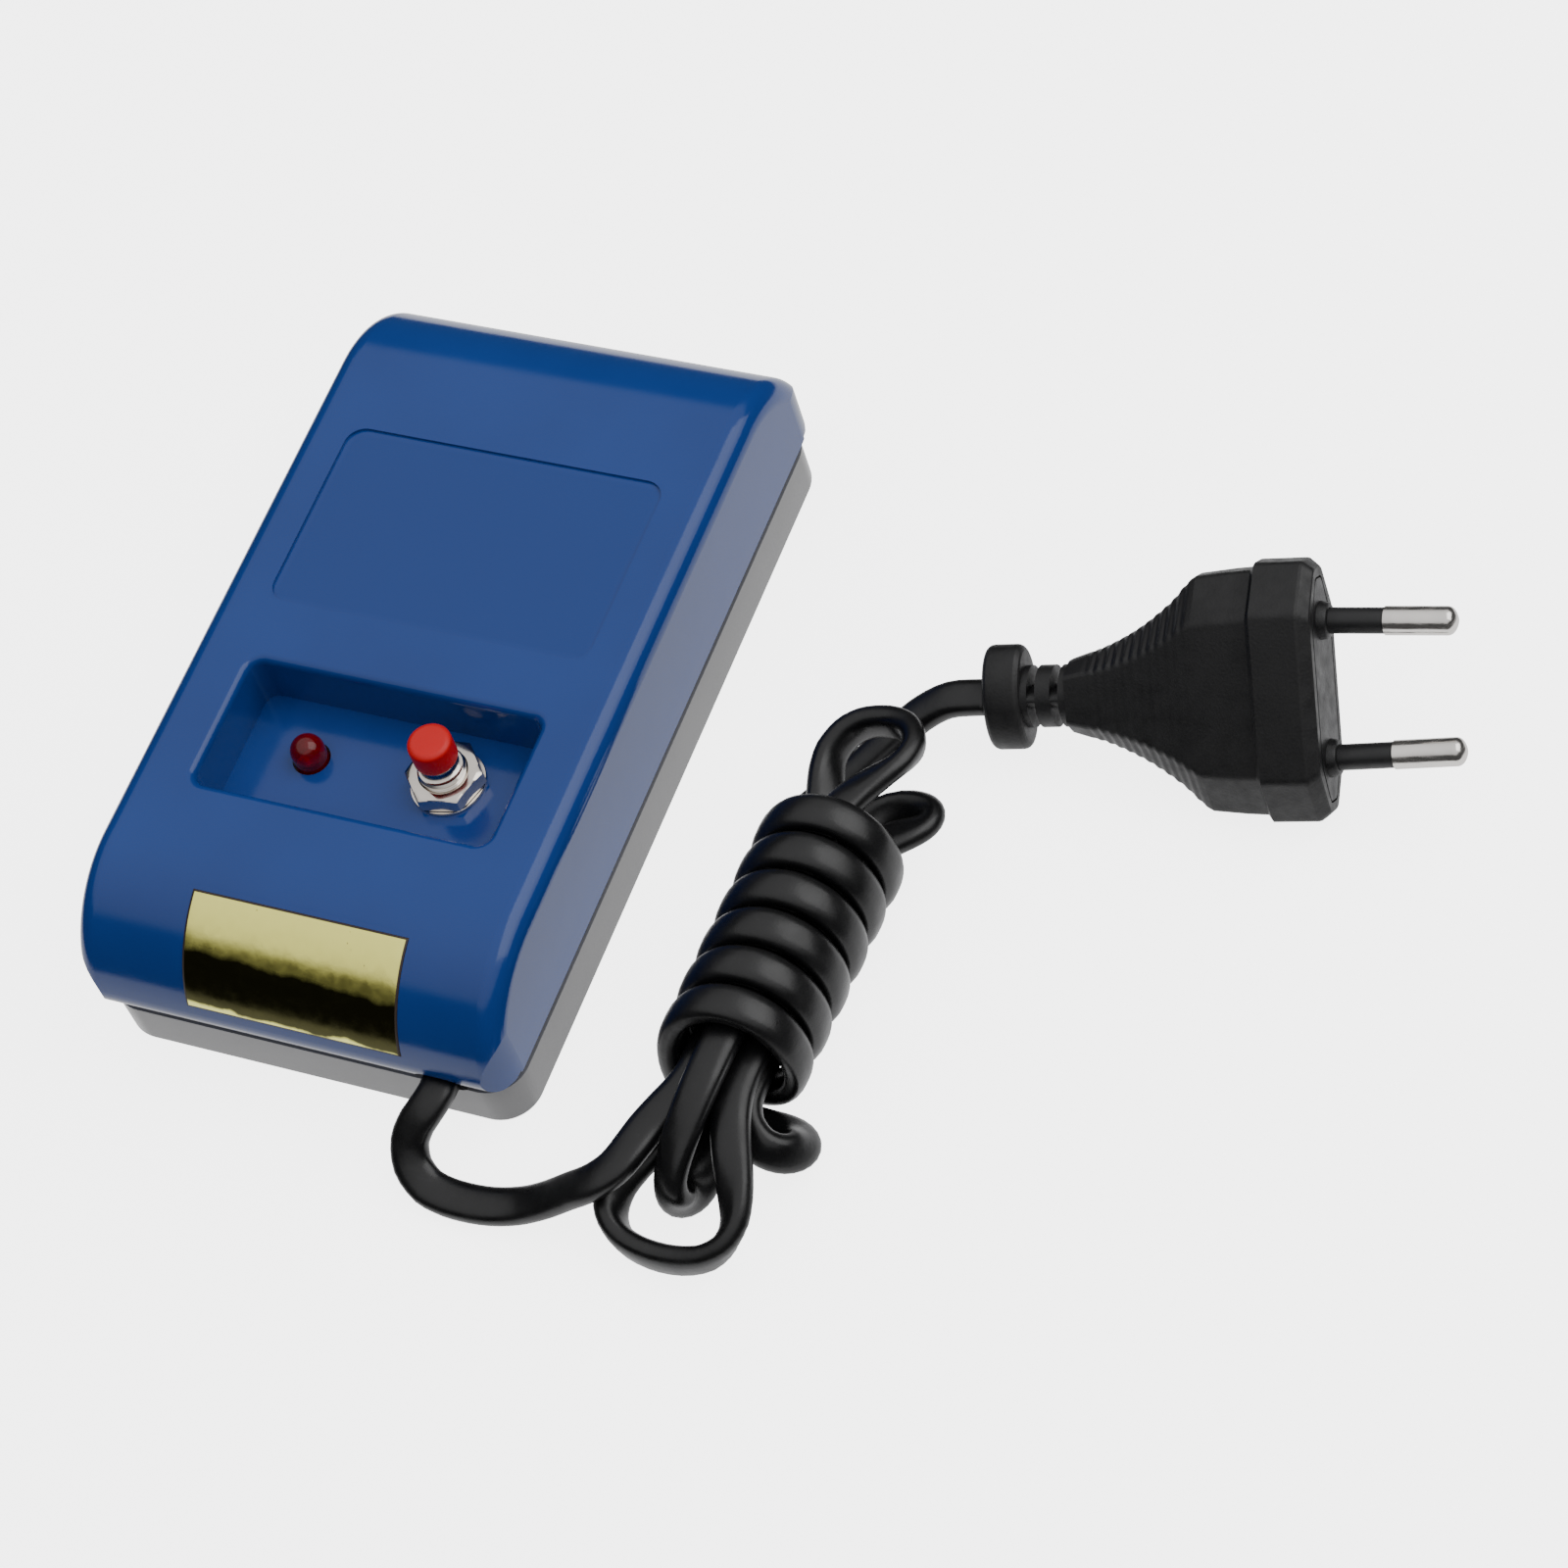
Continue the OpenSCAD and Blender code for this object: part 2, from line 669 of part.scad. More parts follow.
module switch_nut() {
  z = pocket_z + washer_t;
  color(steel) translate([button_x, button_y, 0]) difference() {
    intersection() {
      rotate([0, 0, 12]) translate([0, 0, z]) cylinder(d = nut_af / cos(30), h = nut_h, $fn = 6);
      translate([0, 0, z + nut_h - 9]) cylinder(r1 = nut_af / 2 + 10, r2 = nut_af / 2 + 0.1, h = 9);
    }
    rod(bushing_d, z - 1, z + nut_h + 1);
  }
}

module switch_washer() {
  color(steel) translate([button_x, button_y, 0]) difference() {
    rod(nut_af + 1, pocket_z, pocket_z + washer_t);
    rod(bushing_d + 0.2, pocket_z - 1, pocket_z + 2);
  }
}

module switch_body() {
  color(black) translate([button_x, button_y, 0]) difference() {
    rod(barrel_d, barrel_z, tub_z);
    rod(chamber_d, chamber_z, chamber_top);
    rod(stem_d + 2 * run_fit, chamber_z, tub_z + 1);
    for (s = [-1, 1]) {
      translate([s * post_gap, 0, 0]) rod(1, barrel_z - 1, chamber_z + 1);
    }
  }
}

module switch_spring() {
  z0 = chamber_z + spring_wire / 2;
  z1 = collar_z - run_fit - spring_wire / 2;
  r = spring_d / 2 - spring_wire / 2;
  n = 16;
  color(steel) translate([button_x, button_y, 0]) tube([for (i = [0 : spring_turns * n])
    [[r * cos(360 * i / n), r * sin(360 * i / n), z0 + (z1 - z0) * i / (spring_turns * n)], 0]],
    spring_wire, spring_wire, 6);
}

module switch_terminals() {
  color(brass) translate([button_x, button_y, 0]) for (s = [-1, 1]) {
    translate([s * post_gap, 0, 0]) rod(1, barrel_z - 0.8, contact_z - travel - run_fit);
    translate([s * (post_gap + 0.7) - 1.2, -0.4, tag_z]) cube([2.4, 0.8, barrel_z - tag_z]);
  }
}

// E plates side by side, every second one a little smaller
module core_laminations() {
  n = round(plates);
  t = core_t / n;
  color([0.42, 0.42, 0.44]) for (i = [0 : n - 1]) {
    e = i % 2 == 0 ? 0 : 0.15;
    translate([0, coil_y - core_t / 2 + i * t, 0]) {
      translate([-core_w / 2 + e, 0, core_z]) cube([core_w - 2 * e, t, yoke_h]);
      translate([-limb_w / 2, 0, yoke_top - 1]) cube([limb_w, t, limb_h + 1 - e]);
      for (x = [-core_w / 2 + e, core_w / 2 - outer_limb]) {
        translate([x, 0, yoke_top - 1]) cube([outer_limb - e, t, limb_h + 1 - e]);
      }
    }
  }
}

module coil_bobbin() {
  color([0.86, 0.84, 0.76]) translate([0, coil_y, 0]) difference() {
    union() {
      for (z = [yoke_top, winding_z + winding_h]) {
        slab(2 * flange_x, 2 * flange_y, 1.5, z, z + bobbin_wall);
      }
      slab(tube_w, tube_l, 1, yoke_top, winding_z + winding_h + 1);
      for (s = [-1, 1]) {
        translate([s * lug_x - 2, -flange_y - 2, yoke_top]) cube([4, 3, bobbin_wall]);
      }
    }
    translate([-limb_w / 2 - 0.3, -core_t / 2 - 0.3, yoke_top - 1])
      cube([limb_w + 0.6, core_t + 0.6, limb_h + 2]);
    for (s = [-1, 1]) {
      translate([s * lug_x, -flange_y - 1, 0]) rod(0.9, yoke_top - 1, yoke_top + 2);
    }
  }
}

module coil_winding() {
  color(copper) translate([0, coil_y, 0]) difference() {
    union() {
      for (i = [0 : 8]) {
        slab(2 * winding_x - (i % 2) * 0.3, 2 * winding_y - (i % 2) * 0.3, 4,
          winding_z + winding_h * i / 9, winding_z + winding_h * (i + 1) / 9);
      }
    }
    slab(tube_w, tube_l, 1, winding_z - 1, winding_z + winding_h + 1);
  }
}

module coil_tape() {
  color([0.90, 0.78, 0.30]) translate([0, coil_y, 0]) difference() {
    slab(2 * winding_x + 0.4, 2 * winding_y + 0.4, 4.2, winding_z + 1, winding_z + winding_h - 1);
    slab(2 * winding_x, 2 * winding_y, 4, winding_z, winding_z + winding_h);
  }
}

module coil_terminals() {
  color(steel) for (s = [-1, 1]) {
    translate([s * lug_x, coil_y - flange_y - 1, 0]) rod(0.9, yoke_top - 3, yoke_top + 3);
  }
}

module core_bracket() {
  color(steel) translate([0, coil_y, 0]) difference() {
    union() {
      translate([-strap_x, -strap_l / 2, core_z - strap_t]) cube([2 * strap_x, strap_l, strap_t]);
      for (s = [-1, 1]) {
        translate([s * (core_w / 2 + 0.5) - 0.5, -strap_l / 2, core_z - 0.5]) cube([1, strap_l, 8]);
      }
    }
    for (s = [-1, 1]) translate([s * ear_x, 0, 0]) rod(small_d + 0.3, core_z - 3, core_z + 1);
  }
}

module bracket_screws() {
  color(steel) for (s = [-1, 1]) {
    translate([s * ear_x, coil_y, core_z]) rotate([180, 0, 0]) pan_screw(small_d, small_d + 1.9, 1.4, 3.8);
  }
}

module cord_clamp() {
  color(steel) difference() {
    translate([exit_x - clamp_w / 2, clamp_y - clamp_l / 2, clamp_z]) cube([clamp_w, clamp_l, clamp_t]);
    for (s = [-1, 1]) {
      translate([exit_x + s * clamp_x, clamp_y, 0]) rod(small_d + 0.3, clamp_z - 1, clamp_z + clamp_t + 1);
    }
  }
}

module clamp_screws() {
  color(steel) for (s = [-1, 1]) {
    translate([exit_x + s * clamp_x, clamp_y, clamp_z + clamp_t]) rotate([180, 0, 0])
      pan_screw(small_d, small_d + 1.9, 1.4, 7);
  }
}

module inner_cord() {
  route = [for (y = [sheath_y, -51, cord_y]) [[exit_x, y, cord_z], 0]];
  color(black) tube(route, cord_w, cord_t, sides);
}

module live_wire() {
  route = [[exit_x + core_gap, sheath_y + 0.8, cord_z], [exit_x - 0.2, sheath_y + 1.7, cord_z - 0.2],
    [exit_x - 2.2, sheath_y + 5, 8.9], [button_x + 8.3, button_y - 12.9, 7],
    [button_x + 5.3, button_y - 6, tag_z + 1.6], [button_x + 1.85, button_y - 1.3, tag_z + 1.2]];
  color([0.45, 0.25, 0.12]) wire(curve(route, 4), wire_d, [0, 0, 1]);
}

module neutral_wire() {
  pin = [-lug_x, coil_y - flange_y - 2.3, yoke_top - 1.7];
  route = [[exit_x - core_gap, sheath_y + 0.5, cord_z], [exit_x - core_gap - 0.9, sheath_y + 1.8, cord_z],
    [button_x + 6.3, button_y - 19.4, 8.6], [4, button_y - 12, 5.4], [-6, -20, 4.6],
    [-10.5, -10, 5.6], pin];
  color([0.16, 0.34, 0.70]) wire(curve(route, 4), wire_d, [0, 0, 1]);
}

module switch_wire() {
  pin = [lug_x, coil_y - flange_y - 2.3, yoke_top - 1.7];
  route = [[button_x - 1.85, button_y + 1.3, tag_z + 1.2], [button_x - 1.9, button_y + 5.1, 5.6],
    [lug_x - 1, -9, 7], [lug_x, -6, 9], pin];
  color([0.75, 0.12, 0.10]) wire(curve(route, 4), wire_d, [0, 0, 1]);
}

module led_wires() {
  from_resistor = [[lamp_x + 7.6, lamp_y + 3.4, board_z - 0.1], [lamp_x + 8.4, lamp_y + 3.5, board_z - 2.4],
    [lamp_x + 11, lamp_y + 3, 9.4], [button_x - 4.2, button_y + 0.6, 6.4],
    [button_x - 3.75, button_y, tag_z + 1.6]];
  to_coil = [[lamp_x - 4.4, lamp_y + 4.6, board_z - 0.1], [lamp_x - 4.4, lamp_y + 5.2, board_z - 2.4],
    [lamp_x + 1, lamp_y + 8.6, 11.5], [0.9 - lug_x, -8, 11],
    [1.1 - lug_x, coil_y - flange_y - 1.6, yoke_top - 0.4]];
  color([0.85, 0.85, 0.82]) {
    wire(curve(from_resistor, 4), 1, [0, 1, 0]);
    wire(curve(to_coil, 4), 1, [1, 0.2, 0]);
  }
}

function to_world(p) = let(c = cos(hank_turn), s = sin(hank_turn))
  hank_at + [p[0] * c - p[1] * s, p[0] * s + p[1] * c, p[2]];

function run(s, ya, yb) = [for (i = [0 : 6]) [[pass[s][0], ya + (yb - ya) * i / 6, pass[s][1]], 0]];
// A loop between two passes: side is +1 at the far end and -1 at the near end
function loop(a, b, side, v) = let(s = pass[b][0] >= pass[a][0] ? 1 : -1)
  [for (i = [1 : loop_n - 1])
    let(th = 180 * i / loop_n, c = (1 - cos(th)) / 2, q = sin(th) * sin(th))
    [[pass[a][0] + (pass[b][0] - pass[a][0]) * c - s * v[1] * 2.6 * cos(th) * q + v[2] * q,
      side * (pass_y + v[0] * sin(th)),
      pass[a][1] + (pass[b][1] - pass[a][1]) * c + v[3] * q],
      90 * smooth((q - v[4]) / (v[5] - v[4]))]];
function wind() = [for (i = [0 : loop_n * wraps])
  let(ph = -90 - 360 * i / loop_n, z = wrap_z * sin(ph))
  [[wrap_x * cos(ph), wrap_y + wrap_pitch * i / loop_n + wrap_shear * (z + wrap_z), z],
    [-cos(ph) / wrap_x, 0, -sin(ph) / wrap_z]]];
hank_end = wrap_y + wrap_pitch * wraps;
hank_route = concat(run(3, -pass_y, pass_y), loop(3, 4, 1, turn_loop), run(4, pass_y, -pass_y),
  loop(4, 1, -1, big_loop), run(1, -pass_y, pass_y), loop(1, 5, 1, top_loop), run(5, pass_y, -pass_y),
  loop(5, 0, -1, inner_loop), run(0, -pass_y, pass_y), loop(0, 2, 1, side_loop), run(2, pass_y, -pass_y),
  under, wind(), [for (i = [1 : 2]) [[-3 * i, hank_end + 0.8 * i, -wrap_z], 0]]);

module cord_hank() {
  color(black) translate(hank_at) rotate([0, 0, hank_turn]) tube(hank_route, cord_w, cord_t, sides);
}

hank_first = to_world(hank_route[0][0]);
hank_second = to_world(hank_route[1][0]);
hank_last = to_world(hank_route[len(hank_route) - 1][0]);
hank_before = to_world(hank_route[len(hank_route) - 2][0]);
plug_a = [cos(plug_pitch) * cos(plug_yaw), cos(plug_pitch) * sin(plug_yaw), sin(plug_pitch)];
plug_h = [-sin(plug_yaw), cos(plug_yaw), 0];
plug_s = cos(plug_roll) * plug_h + sin(plug_roll) * cross(plug_a, plug_h);
plug_n = cross(plug_a, plug_s);

function from_exit(points) = [for (p = points) [exit_x + p[0], cord_y + p[1], p[2]]];
// Three points in a line up to p, so that the end face there is square to v
function straight_to(p, v) = [for (i = [2 : -1 : 0]) p - v * i];

module cord_lead() {
  route = concat(from_exit(lead_points), straight_to(hank_first, unit(hank_second - hank_first)));
  color(black) tube([for (p = curve(route, 3)) [p, 0]], cord_w, cord_t, sides);
}

module cord_tail() {
  plug_end = plug_at - plug_a * plug_l;
  out = unit(hank_last - hank_before);
  route = concat([for (i = [0 : 2]) hank_last + out * i], from_exit(tail_points),
    straight_to(plug_end, plug_a));
  color(black) tube([for (p = curve(route, 3)) [p, 0]], cord_w, cord_t, sides);
}

module on_plug() {
  multmatrix([[plug_a[0], plug_s[0], plug_n[0], plug_at[0]], [plug_a[1], plug_s[1], plug_n[1], plug_at[1]],
    [plug_a[2], plug_s[2], plug_n[2], plug_at[2]], [0, 0, 0, 1]]) children();
}

module at_pins() {
  for (s = [-1, 1]) {
    translate([0, s * pin_gap / 2, 0]) rotate([0, 90, -s * 1.8]) children();
  }
}

// Section of the plug across its axis: distance behind the face, half width and half thickness
function plug_ring(v) = let(k = v[1] * 0.644, e = v[2] * 0.32)
  [for (p = [[v[1], -e], [v[1], e], [k, v[2]], [-k, v[2]], [-v[1], e], [-v[1], -e], [-k, -v[2]], [k, -v[2]]])
    [-v[0], p[0], p[1]]];
function oval_ring(x, w, t) = [for (j = [0 : 23]) [-x, w / 2 * cos(15 * j), t / 2 * sin(15 * j)]];

module plug_body() {
  hw = plug_w / 2;
  ht = plug_t / 2;
  color(black) on_plug() difference() {
    union() {
      loft([for (v = [[36.2, hw * 0.283, 4.3], [30.8, hw * 0.383, 4.6], [25.4, hw * 0.533, 5.1],
        [21, hw * 0.706, 5.6], [16.9, hw * 0.917, 6], [11.5, hw * 0.939, ht - 0.5], [10.8, hw, ht],
        [0.6, hw, ht], [0, hw - 0.5, ht - 0.5]]) plug_ring(v)]);
      loft([for (x = [plug_l - neck_l, 35.2]) oval_ring(x, 8.8, 7.6)]);
      loft([for (v = [[0, 1], [0.5, 0], [neck_l - 0.5, 0], [neck_l, 1]])
        oval_ring(plug_l - v[0], flange_w - v[1], flange_t - v[1])]);
      at_pins() rod(boss_w, -1, 1.3);
    }
    at_pins() rod(sleeve_d, -8, 3);
    for (x = [38, 41.4], s = [-1, 1]) {
      translate([-x - 0.6, s > 0 ? 1.6 : -6.6, -5]) cube([1.2, 5, 10]);
    }
  }
}

module plug_pins() {
  color(brass) on_plug() at_pins() {
    rod(pin_core, -8, sleeve_l);
    rod(pin_d, sleeve_l, pin_l - 1);
    translate([0, 0, pin_l - 1]) rotate_extrude() intersection() {
      circle(pin_d / 2);
      square([pin_d / 2, 1]);
    }
  }
}

module plug_sleeves() {
  color([0.10, 0.10, 0.10]) on_plug() at_pins() difference() {
    rod(sleeve_d, -8, sleeve_l);
    rod(pin_core, -9, sleeve_l + 1);
  }
}

// Least gap of the hank to itself, on its rings' points against every other stretch
hank_p = [for (r = hank_route) r[0]];
hank_t = tangents(hank_p);
hank_n = normals(hank_route);
function sums(v, i = 0, s = 0, out = []) =
  i == len(v) ? out : sums(v, i + 1, s + v[i], concat(out, [s + v[i]]));
hank_s = sums([for (i = [0 : len(hank_p) - 1]) i == 0 ? 0 : norm(hank_p[i] - hank_p[i - 1])]);
// Distance of a point outside the oval section of one stretch, or 99 where it lies past the stretch
function clear_of(p, j) = let(
    d = hank_p[j + 1] - hank_p[j],
    u = ((p - hank_p[j]) * d) / (d * d),
    c = hank_p[j] + d * u,
    n = unit(hank_n[j] * (1 - u) + hank_n[j + 1] * u),
    s = cross(n, unit(d)),
    v = p - c,
    k = norm([v * s / (cord_w / 2), v * n / (cord_t / 2)]))
  u < 0 || u > 1 ? 99 : norm(v) * (1 - 1 / k);
near = [for (i = [0 : len(hank_p) - 1], j = [0 : len(hank_p) - 2])
  if (abs(hank_s[i] - hank_s[j]) > 12 && norm(hank_p[i] - hank_p[j]) < cord_w + 1.4) [i, j]];
hank_gap = min([for (m = near)
  each [for (p = ring(hank_p[m[0]], hank_n[m[0]], hank_t[m[0]], cord_w, cord_t, 16)) clear_of(p, m[1])]]);
echo(hank_gap = hank_gap, hank_length = hank_s[len(hank_s) - 1], rings = len(hank_p));

base_tray();
top_cover();
case_screws();
label_plate();
led_body();
led_leads();
led_board();
board_screws();
led_resistor();
led_diode();
button_cap();
button_plunger();
switch_contact();
switch_bushing();
switch_nut();
switch_washer();
switch_body();
switch_spring();
switch_terminals();
core_laminations();
coil_bobbin();
coil_winding();
coil_tape();
coil_terminals();
core_bracket();
bracket_screws();
cord_clamp();
clamp_screws();
inner_cord();
live_wire();
neutral_wire();
switch_wire();
led_wires();
cord_lead();
cord_hank();
cord_tail();
plug_body();
plug_pins();
plug_sleeves();
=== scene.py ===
"""Watch demagnetizer: finishes, finer pieces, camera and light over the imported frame.

Every length is in metres, in the row frame: x across the case, y along it, z up.
"""

from math import cos, pi, radians, sin, tau

import bmesh
import bpy
from bpy.props import FloatProperty, FloatVectorProperty, IntProperty, PointerProperty
from mathutils import Matrix, Vector


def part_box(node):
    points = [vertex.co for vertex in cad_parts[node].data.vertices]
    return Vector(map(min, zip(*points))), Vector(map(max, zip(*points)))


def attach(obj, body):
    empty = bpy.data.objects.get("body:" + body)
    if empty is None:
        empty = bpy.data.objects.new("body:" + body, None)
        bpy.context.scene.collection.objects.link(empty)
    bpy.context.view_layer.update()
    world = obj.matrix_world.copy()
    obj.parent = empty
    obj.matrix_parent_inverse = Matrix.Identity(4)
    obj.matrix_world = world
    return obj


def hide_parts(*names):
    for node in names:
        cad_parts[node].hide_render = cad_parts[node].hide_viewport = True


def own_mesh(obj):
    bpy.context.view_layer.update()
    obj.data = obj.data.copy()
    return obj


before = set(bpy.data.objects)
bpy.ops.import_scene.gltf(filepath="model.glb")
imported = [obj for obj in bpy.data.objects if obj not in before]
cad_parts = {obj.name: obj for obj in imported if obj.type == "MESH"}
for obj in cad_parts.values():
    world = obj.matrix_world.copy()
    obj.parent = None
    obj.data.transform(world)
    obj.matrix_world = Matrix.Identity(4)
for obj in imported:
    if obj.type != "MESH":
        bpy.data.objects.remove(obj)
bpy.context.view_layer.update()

bl_info = {
    "name": "Watch demagnetizer",
    "version": (1, 0, 0),
    "blender": (4, 5, 0),
    "location": "3D View > Sidebar > Demagnetizer",
    "description": "Builds the finishes and finer pieces of a desktop watch demagnetizer",
    "category": "Object",
}

UP = Vector((0, 0, 1))
# Points closer together than this are one point: in a new mesh, and in the base's own mesh
SAME_POINT = 1e-6
SAME_BASE_POINT = 1e-7

# Route of the cord, as in the part's source: across and along from the exit, and up from the table
EXIT = Vector((0.0223, -0.0585, 0))
EXIT_HEIGHT = 0.0103
LEAD = (
    (0, 0, EXIT_HEIGHT), (0, -0.001, EXIT_HEIGHT), (0, -0.002, EXIT_HEIGHT), (-0.0008, -0.0044, 0.0095),
    (-0.0023, -0.0068, 0.0076), (-0.0031, -0.0089, 0.0055), (-0.0024, -0.0109, 0.0038),
    (-0.0001, -0.0124, 0.0027), (0.0031, -0.0131, 0.0021), (0.0067, -0.0133, 0.002),
    (0.0107, -0.013, 0.0021), (0.0147, -0.0123, 0.0029), (0.0187, -0.0115, 0.0049),
    (0.0227, -0.0105, 0.0076), (0.0267, -0.0095, 0.0104), (0.0293, -0.0075, 0.0117),
    (0.0306, -0.0041, 0.0122), (0.0316, -0.0009, 0.0124), (0.0329, 0.0019, 0.0128),
    (0.0343, 0.0045, 0.0133), (0.0351, 0.0063, 0.0136),
)
TAIL = (
    (0.0298, 0.0504, 0.002), (0.0296, 0.053, 0.002), (0.0306, 0.0565, 0.002),
    (0.0327, 0.0602, 0.0021), (0.0352, 0.0639, 0.0025), (0.0377, 0.0676, 0.0035),
    (0.0404, 0.0712, 0.005), (0.0434, 0.0741, 0.0067), (0.0467, 0.0758, 0.0082),
)
# From the hank's last pass round and under to its first wrap: place in the hank, and roll in degrees
UNDER = (
    ((0.0034, -0.0204, -0.0021), 8), ((0.0048, -0.023, -0.0027), 35), ((0.0074, -0.025, -0.0038), 60),
    ((0.0104, -0.0252, -0.0052), 80), ((0.0128, -0.0236, -0.0066), 85), ((0.0136, -0.021, -0.0078), 75),
    ((0.0124, -0.0189, -0.0088), 50), ((0.0098, -0.0188, -0.0095), 20),
)
# Then along the table under the hank to its first wrap, and from its last one towards the tail
BEFORE_WRAPS = ((0.0066, -0.0191), (0.0033, -0.01935))
AFTER_WRAPS = Vector((-0.003, 0.0008, 0))

# Hank: its middle from the exit, its lowest wraps over the table, its turn, and half a pass's length
HANK_MIDDLE = Vector((0.0397, 0.0275, 0))
HANK_LIFT = 0.0003
HANK_TURN = radians(-3)
PASS_END = 0.018
# Gaps between passes side by side, between their layers, and from the passes out to the wraps
PASS_GAP = 0.0007
LAYER_GAP = 0.0005
WRAP_SIDE_GAP = 0.00115
WRAP_TOP_GAP = 0.00055
# Where the wraps begin along the hank, and how far they lean along it over how far they rise
WRAP_START = -0.0195
WRAP_SHEAR = 0.2
# Points in a loop or wrap, and a loop's swell over cos * sin squared, which is 0.385 at its most
LOOP_POINTS = 24
SWELL_PEAK = 2.6
# Each loop: reach, swell, lean, dip, and where its roll on to edge begins and ends
TURN_LOOP = (0.0036, 0.0005, 0, 0, 2, 3)
TOP_LOOP = (0.0215, 0.006, 0.0025, 0.0006, 0.14, 0.5)
SIDE_LOOP = (0.014, 0.0038, 0.008, -0.001, 0.3, 0.9)
BIG_LOOP = (0.0245, 0.0076, -0.0005, -0.008, 0.3, 0.8)
INNER_LOOP = (0.019, 0.0008, -0.0005, -0.0066, 0.4, 0.95)
# Length of the short straight steps where one stretch meets the next, and rounds of easing
STRAIGHT = 0.001
EASE_ROUNDS = 40

# Plug: middle of its front face, and the turns that its axis makes
PLUG_AT = Vector((0.1225, 0.0261, 0.0158))
PLUG_YAW = radians(9)
PLUG_PITCH = radians(8)
PLUG_ROLL = radians(45)
PIN_LEAN = radians(1.8)
# The plug's section: its flats in its width and its edges in its thickness
FLAT_SHARE = 0.644
EDGE_SHARE = 0.32
# How far the pins and sleeves go into the body, and how far the pins' roots are set in
PIN_DEPTH = 0.008
PIN_STEP = 0.0005

# Foil: faces across and down it, its rim, and its lower face over the cover
FOIL_COLUMNS = 30
FOIL_ROWS = 36
FOIL_RIM = 0.00035
FOIL_GAP = 0.00001

# Push button: plunger's run in the bushing, its collar, and the bushing's nose
RUN_GAP = 0.00005
COLLAR_HEIGHT = 0.0009
CHAMBER_ROOF = 0.0006
NOSE_HEIGHT = 0.0016


# Shapes


def smooth(t):
    """0 to 1 with level ends."""
    t = min(1, max(0, t))
    return t * t * (3 - 2 * t)


def quarter(steps):
    """Angles from 0 to a right angle."""
    return [pi / 2 * k / steps for k in range(steps + 1)]


def square_to(vector, tangent):
    """The part of vector at right angles to tangent, as a unit vector."""
    return (vector - tangent * vector.dot(tangent)).normalized()


def tangents(points):
    """Unit tangent at each point of a line."""
    last = len(points) - 1
    return [(points[min(i + 1, last)] - points[max(i - 1, 0)]).normalized() for i in range(last + 1)]


def slopes(points):
    """Rate of change at each point per metre of the line, whatever the distances between points."""
    gaps = [(b - a).length for a, b in zip(points, points[1:])]
    rates = [(b - a) / gap for a, b, gap in zip(points, points[1:], gaps)]
    inner = [
        (rates[i] * gaps[i + 1] + rates[i + 1] * gaps[i]) / (gaps[i] + gaps[i + 1])
        for i in range(len(gaps) - 1)
    ]
    return gaps, [rates[0]] + inner + [rates[-1]]


def between(a, b, slope_a, slope_b, t):
    """Smooth curve from a to b that has the slopes at its ends; slopes are per unit of t."""
    rise, gain = b - a, t * t * (3 - 2 * t)
    return a + rise * gain + slope_a * (t * (1 - t) ** 2) - slope_b * (t * t * (1 - t))


def follow(points, normals, step):
    """The line through points, cut to about step, with its normals turned along."""
    gaps, heading = slopes(points)
    centres, ups = [], []
    for i, gap in enumerate(gaps):
        count = max(1, round(gap / step))
        for k in range(count):
            t = k / count
            centres.append(between(points[i], points[i + 1], heading[i] * gap, heading[i + 1] * gap, t))
            ups.append(normals[i].lerp(normals[i + 1], t))
    centres.append(points[-1])
    ups.append(normals[-1])
    return centres, [square_to(up, along) for up, along in zip(ups, tangents(centres))]


def eased(centres, tight, rounds, held=4):
    """The line with bends tighter than that radius eased a little, all but the points held at its ends."""
    free = range(held, len(centres) - held)
    for _ in range(rounds):
        pull = [0.0] * len(centres)
        for i in free:
            before, after = centres[i] - centres[i - 1], centres[i + 1] - centres[i]
            radius = (before.length + after.length) / 2 / max(before.angle(after), 1e-6)
            pull[i] = max(0.0, 1 - radius / tight)
        centres = [
            centre.lerp((centres[i - 1] + centres[i + 1]) / 2, sum(pull[i - 2:i + 3]) / 5)
            if i in free else centre
            for i, centre in enumerate(centres)
        ]
    return centres


def untwisted(centres, ups, rounds):
    """Normals for the line that keep to one side of it and turn without jerks."""
    along = tangents(centres)
    turned_ups = [square_to(ups[0], along[0])]
    for up, tangent in zip(ups[1:], along[1:]):
        up = square_to(up, tangent)
        turned_ups.append(-up if up.dot(turned_ups[-1]) < 0 else up)
    for _ in range(rounds):
        inner = [
            square_to(turned_ups[i - 1] + 2 * turned_ups[i] + turned_ups[i + 1], along[i])
            for i in range(1, len(turned_ups) - 1)
        ]
        turned_ups = [turned_ups[0]] + inner + [turned_ups[-1]]
    return turned_ups


def oval(width, thickness, count, fullness=2.0):
    """Section of a flat cord: an ellipse at fullness 2, and flatter sides above it."""
    def bulge(value):
        """The sine or cosine, pushed out towards the section's corners."""
        return abs(value) ** (2 / fullness) * (1 if value >= 0 else -1)

    angles = [tau * i / count for i in range(count)]
    return [(width / 2 * bulge(cos(a)), thickness / 2 * bulge(sin(a))) for a in angles]


def face_outwards(mesh):
    """Merge the points of a closed mesh that coincide, drop its flat faces, and turn it outwards."""
    body = bmesh.new()
    body.from_mesh(mesh)
    bmesh.ops.remove_doubles(body, verts=body.verts, dist=SAME_POINT)
    bmesh.ops.dissolve_degenerate(body, dist=SAME_POINT, edges=body.edges)
    bmesh.ops.recalc_face_normals(body, faces=body.faces)
    body.to_mesh(mesh)
    body.free()


